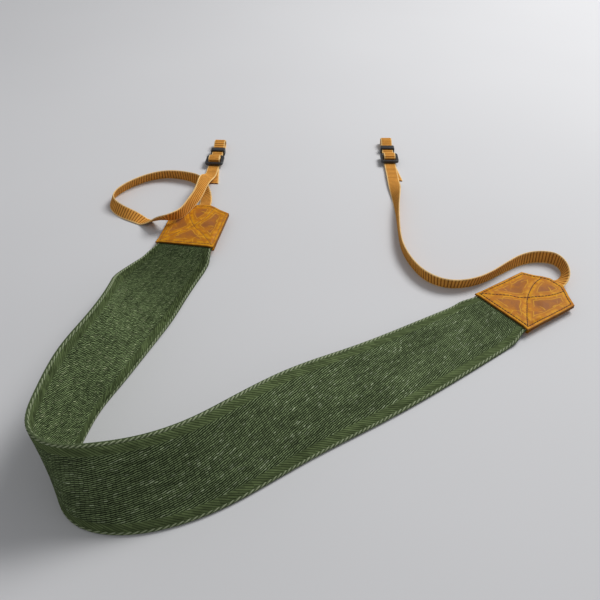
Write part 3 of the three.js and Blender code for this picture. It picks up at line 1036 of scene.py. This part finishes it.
@dataclass
class Band:
    """The woven neck band."""

    width: float = mm(50)
    end_width: float = mm(44)
    taper: float = mm(14)
    sewn_width: float = mm(37)
    mouth: Span = (mm(2), mm(8))
    thickness: float = mm(2.2)
    tuck: float = mm(15)
    tab_length: float = mm(56)
    columns: int = 51
    ring_step: float = mm(1.5)
    edge_share: float = 0.45
    edge_reach: Span = (mm(1.32), mm(2.42))
    selvedge_width: float = mm(2.2)
    twist: float = mm(9.9)
    yarn: float = mm(0.85)
    strands: int = 6
    steps: int = 18
    slips: tuple[Span, ...] = ((0.7, mm(23)), (0.4, mm(9.1)))

    def spine(self, tab_half: float) -> Route:
        """The strap's middle line, from tab tip to tab tip.

        Args:
            tab_half: half the thickness of a tab.

        Returns:
            The route.
        """
        table = np.array(SPINE_ROWS)

        def half_at(from_tip: Points) -> Points:
            """Half the stack's thickness, which a tab adds to."""
            share = smooth(from_tip, self.tab_length, self.tab_length + self.width / 2)
            return blended(tab_half, self.thickness / 2, share)

        columns = {
            "x": table[:, 0] * LAY_WIDTH,
            "y": table[:, 1] * LAY_DEPTH,
            "lean": table[:, 2],
            "curl": table[:, 3],
            "rise": table[:, 4] * self.width,
        }
        return Route(columns, self.width, half_at)

    def half_width(self, from_tip: Points) -> Points:
        """Measures half the band's width.

        Args:
            from_tip: distances from the nearer tab's tip.

        Returns:
            Half the width at each.
        """
        outside = smooth(from_tip, self.tab_length, self.tab_length + self.taper)
        inside = smooth(self.tab_length - from_tip, *self.mouth)
        width = blended(self.end_width, self.width, outside)
        return blended(width, self.sewn_width, inside) / 2

    def build(self, spine: Route, finishes: Finishes) -> None:
        """Weaves the band and twists its two selvedges.

        Args:
            spine: the strap's middle line.
            finishes: the strap's materials.
        """
        start = self.tab_length - self.tuck
        stop = spine.length - start
        rings = round((stop - start) / self.ring_step) + 1
        lengths = np.linspace(start, stop, rings)
        stations = spine.stations(lengths)
        share = np.linspace(-1.0, 1.0, self.columns)
        grid = new_grid("band_weave", rings, self.columns)
        spread = np.outer(self.half_width(np.minimum(lengths, spine.length - lengths)), share)
        grid.lay(spine.points(stations, spread, 0 * spread))
        band = grid.obj
        map_cloth(band.data, (lengths - start)[grid.ring], (share * self.width / 2)[grid.column])
        from_edge = (1 - np.abs(share)) * self.width / 2
        inside = smooth(from_edge, *self.edge_reach)
        weights = blended(self.edge_share, 1.0, inside)[grid.column]
        show(
            band,
            "band_fabric",
            [finishes.band_outer, finishes.band_inner, finishes.selvedge_dark],
            "band",
        )
        thicken(band, self.thickness, weights, material_offset=1, material_offset_rim=2)
        shade_smooth(band, CREASE_ANGLE)
        selvedges = self.selvedges(spine, finishes)

    def selvedges(self, spine: Route, finishes: Finishes) -> list[bpy.types.Object]:
        """Twists light and dark yarns along each edge.

        Args:
            spine: the strap's middle line.
            finishes: the strap's materials.

        Returns:
            The pieces of the light yarns and the dark ones.
        """
        start = self.tab_length - self.tuck
        stop = spine.length - start
        count = round((stop - start) / self.twist * self.steps)
        lengths = np.linspace(start, stop, count)
        stations = spine.stations(lengths)
        half = self.half_width(np.minimum(lengths, spine.length - lengths))
        uneven = sum(size * np.sin(lengths / reach) for size, reach in self.slips)
        turn = (lengths - start) / self.twist * 2 * math.pi + uneven
        reach = (self.selvedge_width - self.yarn) / 2
        made = []
        for name, first, finish in (
            ("band_selvedge_light", 0, finishes.selvedge_light),
            ("band_selvedge_dark", 1, finishes.selvedge_dark),
        ):
            runs = []
            for edge, strand in itertools.product((-1, 1), range(first, self.strands, 2)):
                angle = turn * edge + 2 * math.pi * strand / self.strands
                across = edge * (half - self.selvedge_width / 2 + reach * np.cos(angle))
                offset = (self.thickness - self.yarn) / 2 * np.sin(angle)
                runs.append(spine.points(stations, across[:, None], offset[:, None])[:, 0])
            yarn = yarn_along(name, runs, self.yarn, sides=1)
            show(yarn, "band_fabric", [finish])
            made.append(yarn)
        return made


@dataclass
class Tab:
    """A leather end tab: two leaves with the band's end and the webbing's end sewn between them."""

    side: str
    at_end: bool
    top_face: int
    width: float = mm(47)
    side_length: float = mm(46)
    point: float = mm(10)
    tip_width: float = mm(11)
    leather: float = mm(1.4)
    band_tuck: float = mm(15)
    webbing_tuck: float = mm(25)
    pocket_slope: float = mm(7)
    pocket_steps: int = 12
    mouth: Span = (0.0, mm(8))
    mouth_press: float = 0.55
    pressed_side: Span = (mm(4.5), mm(0.8))
    band_half: float = mm(1.1)
    webbing_half: float = mm(0.6)
    webbing_width: float = mm(10)
    seam_inset: float = mm(2.1)
    stitch: float = mm(2.4)
    thread: float = mm(0.55)
    thread_sink: float = mm(0.3)
    proud_stitch: Span = (1.1, 0.8)
    flat_stitch: Span = (0.6, 0.9)
    stitch_steps: int = 8
    edge_round: Span = (mm(0.45), mm(0.5))
    seam_press: Span = (mm(0.32), mm(0.9))
    crossing: tuple[Span, ...] = (
        (mm(53.4), mm(20.8)),
        (mm(45.6), mm(13.4)),
        (mm(37.9), mm(6.7)),
        (mm(30.6), mm(0.6)),
        (mm(22.8), mm(-4.1)),
        (mm(14.3), mm(-7.9)),
        (mm(5), mm(-9.6)),
    )
    crossing_steps: int = 60
    columns: int = 81
    rings: int = 91

    @property
    def length(self) -> float:
        """The tab's length from its tip to its base."""
        return self.side_length + self.point

    @property
    def half(self) -> float:
        """Half the tab's thickness over the band."""
        return self.band_half + GAP + self.leather

    def half_width(self, from_tip: Points) -> Points:
        """Half the tab's width at a distance from its tip."""
        return blended(self.tip_width, self.width, np.minimum(from_tip / self.point, 1.0)) / 2

    def pocket(self, from_tip: Points, across: Points) -> Points:
        """How far a leaf's inner face stands off the middle surface.

        Args:
            from_tip: distances from the tip.
            across: distances from the middle line.

        Returns:
            The distances off the middle surface.
        """
        band_end = self.length - self.band_tuck - GAP
        over_band = smooth(from_tip, band_end - self.pocket_slope, band_end)
        side = self.half_width(from_tip) - np.abs(across)
        inside = blended(self.mouth_press, 1.0, smooth(self.length - from_tip, *self.mouth))
        over_band = over_band * (1 - inside * smooth(side, *self.pressed_side))
        webbing_edge = self.webbing_width / 2 + GAP + self.width / self.pocket_steps
        beside = smooth(np.abs(across), webbing_edge, webbing_edge + self.pocket_slope)
        webbing_end = self.webbing_tuck + GAP
        past = smooth(from_tip, webbing_end, webbing_end + self.pocket_slope)
        low = blended(self.webbing_half + GAP, GAP / 2, np.maximum(beside, past))
        return blended(low, self.band_half + GAP, over_band)

    def place(self, spine: Route, from_tip: Points, across: Points, offset: Points) -> Points:
        """Points of the tab.

        Args:
            spine: the strap's middle line.
            from_tip: each row's distance from the tip.
            across: distances from the middle line, one row for each of from_tip.
            offset: distances off the middle surface, of the same shape.

        Returns:
            The points, as rows of rows.
        """
        lengths = spine.length - from_tip if self.at_end else from_tip
        return spine.points(spine.stations(lengths), across, offset)

    def build(self, spine: Route, finishes: Finishes) -> None:
        """Cuts the two leaves and sews them.

        Args:
            spine: the strap's middle line.
            finishes: the strap's materials.
        """
        for part, face in (("top", self.top_face), ("bottom", -self.top_face)):
            leaf = self.leaf(spine, part, face)
            show(leaf, "tab_leather", [finishes.leather], f"tab_{self.side}_{part}")
            thread = self.stitches(spine, part, face)
            finish = finishes.thread_inner if face > 0 else finishes.thread_outer
            show(thread, "tab_leather", [finish])

    def seam_gap(self, from_tip: Points, across: Points) -> Points:
        """How far each point is from the nearest seam.

        Args:
            from_tip: distances from the tip.
            across: distances from the middle line, of the same shape.

        Returns:
            The distances.
        """
        nearest = np.full(from_tip.shape, np.inf)
        for run in self.seams():
            for place in run:
                nearest = np.minimum(nearest, np.hypot(from_tip - place[0], across - place[1]))
        return nearest

    def leaf(self, spine: Route, part: str, face: int) -> bpy.types.Object:
        """Cuts one leaf.

        Args:
            spine: the strap's middle line.
            part: top or bottom.
            face: the side of the middle surface that it is on, 1 or -1.

        Returns:
            The leaf.
        """
        grid = new_grid(f"tab_{self.side}_{part}_leaf", self.rings, self.columns)
        from_tip = np.linspace(0.0, self.length, self.rings)
        share = np.linspace(-1.0, 1.0, self.columns)
        across = np.outer(self.half_width(from_tip), share)
        away = np.tile(from_tip[:, None], (1, self.columns))
        inner = self.pocket(away, across)
        rim = np.minimum(self.half_width(away) - np.abs(across), np.minimum(away, self.length - away))
        rounding = self.edge_round[0] * np.exp(-rim / self.edge_round[1])
        seam = self.seam_gap(away, across)
        pressed = self.seam_press[0] * np.exp(-((seam / self.seam_press[1]) ** 2))
        low = self.place(spine, from_tip, across, face * inner)
        high = self.place(spine, from_tip, across, face * (inner + self.leather - rounding - pressed))
        leaf = grid.obj
        grid.lay(low)
        map_cloth(leaf.data, away[grid.ring, grid.column], across[grid.ring, grid.column])
        apply_modifier(leaf, "SOLIDIFY", thickness=self.leather, offset=1.0)
        placed = coordinates(leaf.data)
        placed[: self.rings * self.columns] = high[grid.ring, grid.column] + LAY_SHIFT
        move_vertices(leaf.data, placed)
        paint(leaf.data, "edge", np.tile(rim[grid.ring, grid.column], 2))
        paint(leaf.data, "seam", np.tile(seam[grid.ring, grid.column], 2))
        select_only(leaf)
        bpy.ops.object.mode_set(mode="EDIT")
        bpy.ops.mesh.select_all(action="SELECT")
        bpy.ops.mesh.normals_make_consistent(inside=False)
        bpy.ops.object.mode_set(mode="OBJECT")
        shade_smooth(leaf, CREASE_ANGLE)
        return leaf

    def outline(self) -> Points:
        """Works out the stitched outline.

        Returns:
            Its corners, each a distance from the tip and one across, with the first one again at the end.
        """
        inset = self.seam_inset
        slope = np.array([self.point, (self.width - self.tip_width) / 2])
        slope /= np.linalg.norm(slope)
        edge_half = self.width / 2 - inset
        tip_half = self.tip_width / 2 + (inset * slope[1] - inset) / slope[0]
        shoulder = (inset + slope[0] * (edge_half - self.tip_width / 2)) / slope[1]
        base = self.length - inset
        corners = [
            (inset, -tip_half),
            (shoulder, -edge_half),
            (base, -edge_half),
            (base, edge_half),
            (shoulder, edge_half),
            (inset, tip_half),
            (inset, -tip_half),
        ]
        return np.array(corners)

    def seams(self) -> list[Points]:
        """Draws the seams.

        Returns:
            The runs of the outline and of two curves that cross in the middle.
        """
        runs = [stepped_run(self.outline(), self.stitch / 4)]
        for flip in (-1, 1):
            knots = np.array(self.crossing)
            knots[:, 1] *= flip
            steps = run_lengths(knots)
            places = np.linspace(0, steps[-1], self.crossing_steps)
            curve = [Spline(steps, knots[:, k]).at(places) for k in range(2)]
            runs.append(stepped_run(np.stack(curve, axis=-1), self.stitch / 4))
        return runs

    def stitches(self, spine: Route, part: str, face: int) -> bpy.types.Object:
        """Sews the seams on one leaf.

        Args:
            spine: the strap's middle line.
            part: top or bottom.
            face: the side of the middle surface that the leaf is on.

        Returns:
            The thread.
        """
        runs = []
        high, low = self.proud_stitch if face == self.top_face else self.flat_stitch
        for seam in self.seams():
            fine = stepped_run(seam, self.stitch / self.stitch_steps)
            wave = np.abs(np.sin(np.arange(len(fine)) / self.stitch_steps * math.pi))
            lift = self.thread * (high * np.sqrt(wave) - low) - self.thread_sink
            away = fine[:, 0]
            across = fine[:, 1][:, None]
            inner = self.pocket(away[:, None], across)
            offset = face * (inner + self.leather + lift[:, None])
            runs.append(self.place(spine, away, across, offset)[:, 0])
        return yarn_along(f"tab_{self.side}_{part}_thread", runs, self.thread)


def stepped_run(points: Points, step: float) -> Points:
    """Spaces a run of points evenly.

    Args:
        points: the run's points.
        step: the spacing, about.

    Returns:
        The evenly spaced points, both ends included.
    """
    lengths = run_lengths(points)
    count = max(2, round(lengths[-1] / step) + 1)
    places = np.linspace(0.0, lengths[-1], count)
    return np.stack([np.interp(places, lengths, column) for column in points.T], axis=-1)


class Corner(NamedTuple):
    """A corner of the webbing's end in its upright plane, and the radius it is rounded to."""

    along: float
    height: float
    radius: float


@dataclass
class WebbingEnd:
    """The webbing's end: up through the slide, on to the lug loop, and back under itself to its tail."""

    webbing_thickness: float = mm(1.2)
    webbing_width: float = mm(10)
    slide_width: float = mm(16)
    slide_thickness: float = mm(2.4)
    end_bar: float = mm(2.6)
    slot: float = mm(3.6)
    centre_bar: float = mm(2.8)
    slide_corner: float = mm(2.4)
    keeper_length: float = mm(5.5)
    keeper_wall: float = mm(1.2)
    keeper_corner: float = mm(1.1)
    slide_to_keeper: float = mm(9)
    keeper_to_loop: float = mm(8)
    loop_length: float = mm(4)
    loop_height: float = mm(5)
    tail_length: float = mm(27)
    tail_swing: float = mm(3.5)
    turn_radius: float = mm(1.0)
    ease_radius: float = mm(5)
    turn_steps: int = 16

    @property
    def half(self) -> float:
        """Half the webbing's thickness."""
        return self.webbing_thickness / 2

    @property
    def upper(self) -> float:
        """The height of the webbing's upper layer over the floor."""
        return self.half + self.webbing_thickness + GAP

    @property
    def slide_base(self) -> float:
        """The height of the slide's underside."""
        return self.upper + self.half + GAP

    @property
    def slide_length(self) -> float:
        """The slide's length along the webbing."""
        return 2 * self.end_bar + 2 * self.slot + self.centre_bar

    @property
    def keeper_near(self) -> float:
        """Where the keeper starts along the webbing."""
        return self.slide_length + self.slide_to_keeper

    def corners(self) -> list[Corner]:
        """Works out the end's corners.

        Returns:
            The corners, from where the free webbing ends to the tip of the tail.
        """
        low = self.half
        tail_over = self.slide_base + self.slide_thickness + GAP + self.half
        run_over = tail_over + self.webbing_thickness + GAP
        lift = self.keeper_wall + GAP
        near = self.end_bar
        far = self.end_bar + self.slot + self.centre_bar
        hug = GAP + self.half
        turn = self.turn_radius
        ease = self.ease_radius
        keeper_far = self.keeper_near + self.keeper_length
        loop_near = keeper_far + self.keeper_to_loop
        loop_far = loop_near + self.loop_length + self.loop_height / 2
        loop_top = 2 * low + self.loop_height + self.half
        loop_radius = (loop_top - low) / 2
        return [
            Corner(0, self.upper, 0),
            Corner(near + hug, self.upper, turn),
            Corner(near + hug, run_over, 2 * turn),
            Corner(far + self.slot - hug, run_over, 2 * turn),
            Corner(far + self.slot - hug, self.upper, turn),
            Corner(self.slide_length + GAP, self.upper, ease),
            Corner(self.keeper_near - GAP, self.upper + lift, ease),
            Corner(keeper_far + GAP, self.upper + lift, ease),
            Corner(loop_near, loop_top, ease),
            Corner(loop_far, loop_top, loop_radius),
            Corner(loop_far, low, loop_radius),
            Corner(loop_near, low, ease),
            Corner(keeper_far + GAP, low + lift, ease),
            Corner(self.keeper_near - GAP, low + lift, ease),
            Corner(self.slide_length + GAP, low, ease),
            Corner(far + hug, low, turn),
            Corner(far + hug, tail_over, turn),
            Corner(near + self.slot - hug, tail_over, turn),
            Corner(near + self.slot - hug, low, turn),
            Corner(-self.tail_length, low, 0),
        ]

    def path(self) -> Points:
        """Rounds the end's corners.

        Returns:
            The middle line as rows of along and height.
        """
        corners = self.corners()
        at = np.array([(corner.along, corner.height) for corner in corners])
        points = [at[0]]
        for i in range(1, len(corners) - 1):
            before = (at[i] - at[i - 1]) / np.linalg.norm(at[i] - at[i - 1])
            after = (at[i + 1] - at[i]) / np.linalg.norm(at[i + 1] - at[i])
            turn = math.atan2(before[0] * after[1] - before[1] * after[0], float(before @ after))
            radius = corners[i].radius
            start = at[i] - before * radius * math.tan(abs(turn) / 2)
            inward = np.array([-before[1], before[0]]) * math.copysign(radius, turn)
            for angle in np.linspace(0.0, turn, self.turn_steps + 1):
                points.append(start + inward + rotated(-inward, angle))
        points.append(at[-1])
        return np.array(points)


def rotated(way: Points, angle: float) -> Points:
    """Turns a direction in a plane.

    Args:
        way: the direction.
        angle: how far it is turned.

    Returns:
        The turned direction.
    """
    cos = math.cos(angle)
    sin = math.sin(angle)
    return np.array([way[0] * cos - way[1] * sin, way[0] * sin + way[1] * cos])


@dataclass(frozen=True)
class Place:
    """Where the fittings stand: the webbing's end on the floor, the way it runs, and its right hand side."""

    origin: Points
    ahead: Points
    side: Points

    def lay(self, local: Points) -> Points:
        """Turns points of across, along and height into points of the frame."""
        flat = np.outer(local[:, 0], self.side) + np.outer(local[:, 1], self.ahead)
        return self.origin + flat + np.outer(local[:, 2], UP) + LAY_SHIFT


def new_block(name: str, low: Corner3, high: Corner3) -> bpy.types.Object:
    """Adds a cube primitive between two corners, and opens it for editing.

    Args:
        name: the piece's name.
        low: its lowest corner.
        high: its highest corner.

    Returns:
        The block, still axis-aligned.
    """
    obj = add_object(bpy.ops.mesh.primitive_cube_add, name, size=2.0)
    share = (coordinates(obj.data) + 1) / 2
    move_vertices(obj.data, blended(np.array(low), np.array(high), share))
    bpy.ops.object.mode_set(mode="EDIT")
    return obj


def select_faces(obj: bpy.types.Object, wanted: Callable[[Vector, Vector], bool]) -> None:
    """Selects some faces, in edit mode, and no others.

    Args:
        obj: the piece.
        wanted: says whether a face with this centre and normal is one of them.
    """
    bpy.ops.mesh.select_mode(type="FACE")
    bpy.ops.mesh.select_all(action="DESELECT")
    bpy.ops.object.mode_set(mode="OBJECT")
    for polygon in obj.data.polygons:
        polygon.select = wanted(polygon.center, polygon.normal)
    bpy.ops.object.mode_set(mode="EDIT")


def select_edges(obj: bpy.types.Object, wanted: Callable[[Vector, Vector], bool]) -> None:
    """Selects some edges, in edit mode, and no others.

    Args:
        obj: the piece.
        wanted: says whether an edge with these two ends is one of them.
    """
    bpy.ops.mesh.select_mode(type="EDGE")
    bpy.ops.mesh.select_all(action="DESELECT")
    bpy.ops.object.mode_set(mode="OBJECT")
    points = obj.data.vertices
    for edge in obj.data.edges:
        edge.select = wanted(*(points[end].co for end in edge.vertices))
    bpy.ops.object.mode_set(mode="EDIT")


def finish_moulding(obj: bpy.types.Object, place: Place, rounding: float) -> None:
    """Rounds a moulded piece's edges and puts it in its place.

    Args:
        obj: the piece, in edit mode.
        place: where it goes.
        rounding: how far its edges are cut back.
    """
    bpy.ops.mesh.select_mode(type="EDGE")
    bpy.ops.mesh.select_all(action="DESELECT")
    bpy.ops.mesh.edges_select_sharp(sharpness=math.radians(CREASE_ANGLE))
    bpy.ops.mesh.bevel(offset=rounding, segments=3, profile=0.5)
    bpy.ops.mesh.select_all(action="SELECT")
    bpy.ops.mesh.remove_doubles(threshold=MERGE_DISTANCE)
    bpy.ops.mesh.normals_make_consistent(inside=False)
    bpy.ops.object.mode_set(mode="OBJECT")
    move_vertices(obj.data, place.lay(coordinates(obj.data)))
    shade_smooth(obj, MOULDED_ANGLE)


@dataclass
class Slide:
    """A slide buckle: a flat frame with two slots and a centre bar."""

    end: WebbingEnd
    rounding: float = mm(0.4)
    slot_play: float = 4 * GAP

    def build(self, name: str, place: Place) -> bpy.types.Object:
        """Cuts two slots through a block and rounds it.

        Args:
            name: the piece's name.
            place: where the webbing's end starts.

        Returns:
            The slide.
        """
        end = self.end
        half = end.slide_width / 2
        base = end.slide_base
        top = base + end.slide_thickness
        slide = new_block(name, (-half, 0.0, base), (half, end.slide_length, top))
        select_edges(slide, lambda a, b: abs(a.z - b.z) > SHORTEST_EDGE)
        bpy.ops.mesh.bevel(offset=end.slide_corner, segments=6, profile=0.5)

        slot_half = (end.webbing_width + self.slot_play) / 2
        starts = (end.end_bar, end.end_bar + end.slot + end.centre_bar)
        cuts = [((side, 0.0, 0.0), (1.0, 0.0, 0.0)) for side in (-slot_half, slot_half)]
        for start in starts:
            cuts += [((0.0, along, 0.0), (0.0, 1.0, 0.0)) for along in (start, start + end.slot)]
        for through, normal in cuts:
            bpy.ops.mesh.select_all(action="SELECT")
            bpy.ops.mesh.bisect(plane_co=through, plane_no=normal)
        for start in starts:
            select_faces(slide, functools.partial(self.over_slot, start, slot_half))
            bpy.ops.mesh.bridge_edge_loops(use_merge=False)
        finish_moulding(slide, place, self.rounding)
        return slide

    def over_slot(self, start: float, slot_half: float, centre: Vector, normal: Vector) -> bool:
        """Says whether a face of the block lies over a slot.

        Args:
            start: where the slot starts along the slide.
            slot_half: half the slot's width.
            centre: the face's centre.
            normal: the face's normal.

        Returns:
            True where it does.
        """
        inside = abs(centre.x) < slot_half and start < centre.y < start + self.end.slot
        return inside and abs(normal.z) > FACING


@dataclass
class Keeper:
    """A keeper: a loop round both layers of the webbing."""

    end: WebbingEnd
    rounding: float = mm(0.3)

    def build(self, name: str, place: Place) -> bpy.types.Object:
        """Hollows a block and rounds it.

        Args:
            name: the piece's name.
            place: where the webbing's end starts.

        Returns:
            The keeper.
        """
        end = self.end
        half = end.webbing_width / 2 + GAP + end.keeper_wall
        height = 2 * end.webbing_thickness + 3 * GAP + 2 * end.keeper_wall
        near = end.keeper_near
        keeper = new_block(name, (-half, near, 0.0), (half, near + end.keeper_length, height))
        select_faces(keeper, lambda centre, normal: abs(normal.y) > FACING)
        bpy.ops.mesh.inset(thickness=end.keeper_wall, use_individual=True)
        bpy.ops.mesh.bridge_edge_loops(use_merge=False)
        outer = half - end.keeper_wall / 2
        select_edges(keeper, lambda a, b: abs(a.y - b.y) > SHORTEST_EDGE and abs(a.x) > outer)
        bpy.ops.mesh.bevel(offset=end.keeper_corner, segments=4, profile=0.5)
        finish_moulding(keeper, place, self.rounding)
        return keeper


@dataclass
class Webbing:
    """A narrow webbing, from inside its tab to the tip of its tail, with its slide and keeper."""

    side: str
    rows: tuple[Row, ...]
    at_end: bool
    end: WebbingEnd = field(default_factory=WebbingEnd)
    width: float = mm(10)
    thickness: float = mm(1.2)
    tuck: float = mm(25)
    tab_half: float = mm(2.8)
    rib: float = mm(2.4)
    rib_share: Span = (0.62, 0.38)
    edge_share: Span = (0.55, 0.45)
    edge_reach: float = mm(1.0)
    edge_crowding: float = 0.8
    smooth_angle: float = 60.0
    ring_step: float = mm(0.3)
    columns: int = 9

    def route(self, spine: Route) -> Route:
        """The webbing's way: its sewn end on the spine, and then its table.

        Args:
            spine: the strap's middle line.

        Returns:
            The route.
        """
        from_tip = np.array([self.tuck, 0.0])
        stations = spine.stations(spine.length - from_tip if self.at_end else from_tip)
        lean = stations.lean - math.pi if self.at_end else -stations.lean
        drop = self.width / 2 * np.abs(np.sin(lean)) + self.thickness / 2 * np.cos(lean)
        table = np.array(self.rows)
        over_tab = 2 * self.tab_half + GAP
        over_tail = self.thickness + GAP
        rise = table[:, 4] * self.width + table[:, 5] * over_tab + table[:, 6] * over_tail
        columns = {
            "x": np.concatenate([stations.centre[:, 0], table[:, 0] * LAY_WIDTH]),
            "y": np.concatenate([stations.centre[:, 1], table[:, 1] * LAY_DEPTH]),
            "lean": np.concatenate([np.degrees(lean), table[:, 2]]),
            "curl": np.zeros(len(table) + 2),
            "rise": np.concatenate([stations.centre[:, 2] - drop, rise]),
        }
        return Route(columns, self.width, lambda from_end: np.full(np.shape(from_end), self.thickness / 2))

    def strip(self, spine: Route, route: Route) -> Strip:
        """The webbing's cross-sections.

        Args:
            spine: the strap's middle line.
            route: the webbing's way.

        Returns:
            The cross-sections, an eighth of a rib apart.
        """
        from_tip = np.linspace(self.tuck, 0.0, round(self.tuck / self.ring_step))
        sewn = spine.stations(spine.length - from_tip if self.at_end else from_tip)
        sewn_lean = sewn.lean[:, None]
        sewn_width = -(sewn.side * np.cos(sewn_lean) + UP * np.sin(sewn_lean))

        steps = round((route.length - self.tuck) / self.ring_step)
        free = route.stations(np.linspace(self.tuck, route.length, steps)[1:])
        free_lean = free.lean[:, None]
        free_width = free.side * np.cos(free_lean) + UP * np.sin(free_lean)

        last = route.stations(np.array([route.length]))
        ahead = last.ahead[0]
        side = last.side[0]
        facing = math.copysign(1.0, math.cos(last.lean[0]))
        path = stepped_run(self.end.path(), self.ring_step)[1:]
        swing = self.end.tail_swing * np.maximum(-path[:, 0] / self.end.tail_length, 0.0)
        middle = last.centre[0] + np.outer(path[:, 0], ahead) + np.outer(swing, side)
        middle = middle + np.outer(path[:, 1] - self.end.upper, UP)
        end_width = np.tile(facing * side, (len(path), 1))
        return Strip(
            middle=np.concatenate([sewn.centre, free.centre, middle]),
            width_way=np.concatenate([sewn_width, free_width, end_width]),
        )

    def build(self, spine: Route, finishes: Finishes) -> None:
        """Weaves the webbing and moulds its fittings.

        Args:
            spine: the strap's middle line.
            finishes: the strap's materials.
        """
        route = self.route(spine)
        strip = self.strip(spine, route)
        share = np.linspace(-1.0, 1.0, self.columns)
        across = np.sign(share) * np.abs(share) ** self.edge_crowding * self.width / 2
        grid = new_grid(f"webbing_{self.side}_weave", len(strip.middle), self.columns)
        points = strip.middle[:, None, :] + strip.width_way[:, None, :] * across[None, :, None]
        grid.lay(points)
        webbing = grid.obj
        along = run_lengths(strip.middle)
        map_cloth(webbing.data, along[grid.ring], across[grid.column])
        rib = 0.5 + 0.5 * np.sin(along * 2 * math.pi / self.rib)
        edge = np.clip((self.width / 2 - np.abs(across)) / self.edge_reach, 0.0, 1.0)
        thick_along = self.rib_share[0] + self.rib_share[1] * rib
        thick_across = self.edge_share[0] + self.edge_share[1] * edge
        thicken(webbing, self.thickness, thick_along[grid.ring] * thick_across[grid.column])
        shade_smooth(webbing, self.smooth_angle)
        show(webbing, "webbing_fabric", [finishes.webbing], f"webbing_{self.side}")
        last = route.stations(np.array([route.length]))
        place = Place(origin=last.centre[0] - self.end.upper * UP, ahead=last.ahead[0], side=last.side[0])
        for kind, form, fitting in (("slide", "frame", Slide), ("keeper", "loop", Keeper)):
            piece = fitting(self.end).build(f"{kind}_{self.side}_{form}", place)
            show(piece, "slide_plastic", [finishes.plastic], f"{kind}_{self.side}")


class Lamp(NamedTuple):
    """A square area light that shines at the middle of the floor."""

    name: str
    place: Corner3
    size: float
    power: float


@dataclass
class Studio:
    """A pale floor, soft light, and the camera."""

    floor_size: float = 6.0
    camera_place: Corner3 = (-0.01709, -0.38907, 0.30400)
    camera_tilt: float = math.radians(50)
    lens: float = 40.8
    sensor: float = 36.0
    shift: float = 0.0008
    floor_shade: Colour = (0.60, 0.60, 0.61)
    floor_colour: Colour = (0.66, 0.66, 0.67)
    sky_colour: Colour = (0.96, 0.97, 1.0)
    sky_strength: float = 0.32
    lamps: tuple[Lamp, ...] = (
        Lamp("light_key", place=(0.8, 0.7, 1.2), size=0.7, power=21.0),
        Lamp("light_fill", place=(-0.6, -0.9, 1.2), size=1.2, power=1.0),
    )

    def build(self) -> None:
        """Sets up the floor, the lights and the camera."""
        bpy.context.scene.view_settings.view_transform = "Standard"
        self.floor()
        self.lights()
        self.camera()

    def floor(self) -> None:
        """Lays the floor."""
        floor = add_object(bpy.ops.mesh.primitive_plane_add, "floor", size=self.floor_size)
        tones = (self.floor_shade, self.floor_colour)
        paper = Mottled("floor_paper", *tones, grain=3.0, relief=0.0, roughness=0.9)
        floor.data.materials.append(paper.material())

    def lights(self) -> None:
        """Hangs a large soft light up, back and to the right, a weak fill, and an even sky."""
        world = bpy.data.worlds.new("studio_sky")
        bpy.context.scene.world = world
        world.use_nodes = True
        background = world.node_tree.nodes["Background"]
        background.inputs["Color"].default_value = (*self.sky_colour, 1.0)
        background.inputs["Strength"].default_value = self.sky_strength
        for lamp in self.lamps:
            light = add_object(bpy.ops.object.light_add, lamp.name, type="AREA", location=lamp.place)
            light.data.size = lamp.size
            light.data.energy = lamp.power
            light.rotation_euler = (-Vector(lamp.place)).to_track_quat("-Z", "Y").to_euler()

    def camera(self) -> None:
        """Puts the camera at the photograph's viewing angle."""
        turned = (self.camera_tilt, 0.0, 0.0)
        camera = add_object(bpy.ops.object.camera_add, "camera", location=self.camera_place, rotation=turned)
        camera.data.sensor_width = self.sensor
        camera.data.lens = self.lens
        camera.data.shift_y = self.shift
        camera.data.clip_start = 0.01
        camera.data.clip_end = 50.0
        bpy.context.scene.camera = camera


def main() -> None:
    """Builds the strap and its studio."""
    logging.basicConfig(level=logging.INFO, format="%(name)s: %(message)s")
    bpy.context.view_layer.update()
    Studio().build()
    finishes = Finishes()
    band = Band()
    tabs = (Tab("left", at_end=False, top_face=1), Tab("right", at_end=True, top_face=-1))
    webbings = (Webbing("left", LEFT_ROWS, at_end=False), Webbing("right", RIGHT_ROWS, at_end=True))
    spine = band.spine(tabs[0].half)
    for part in (band, *tabs, *webbings):
        part.build(spine, finishes)


if __name__ == "__main__":
    main()
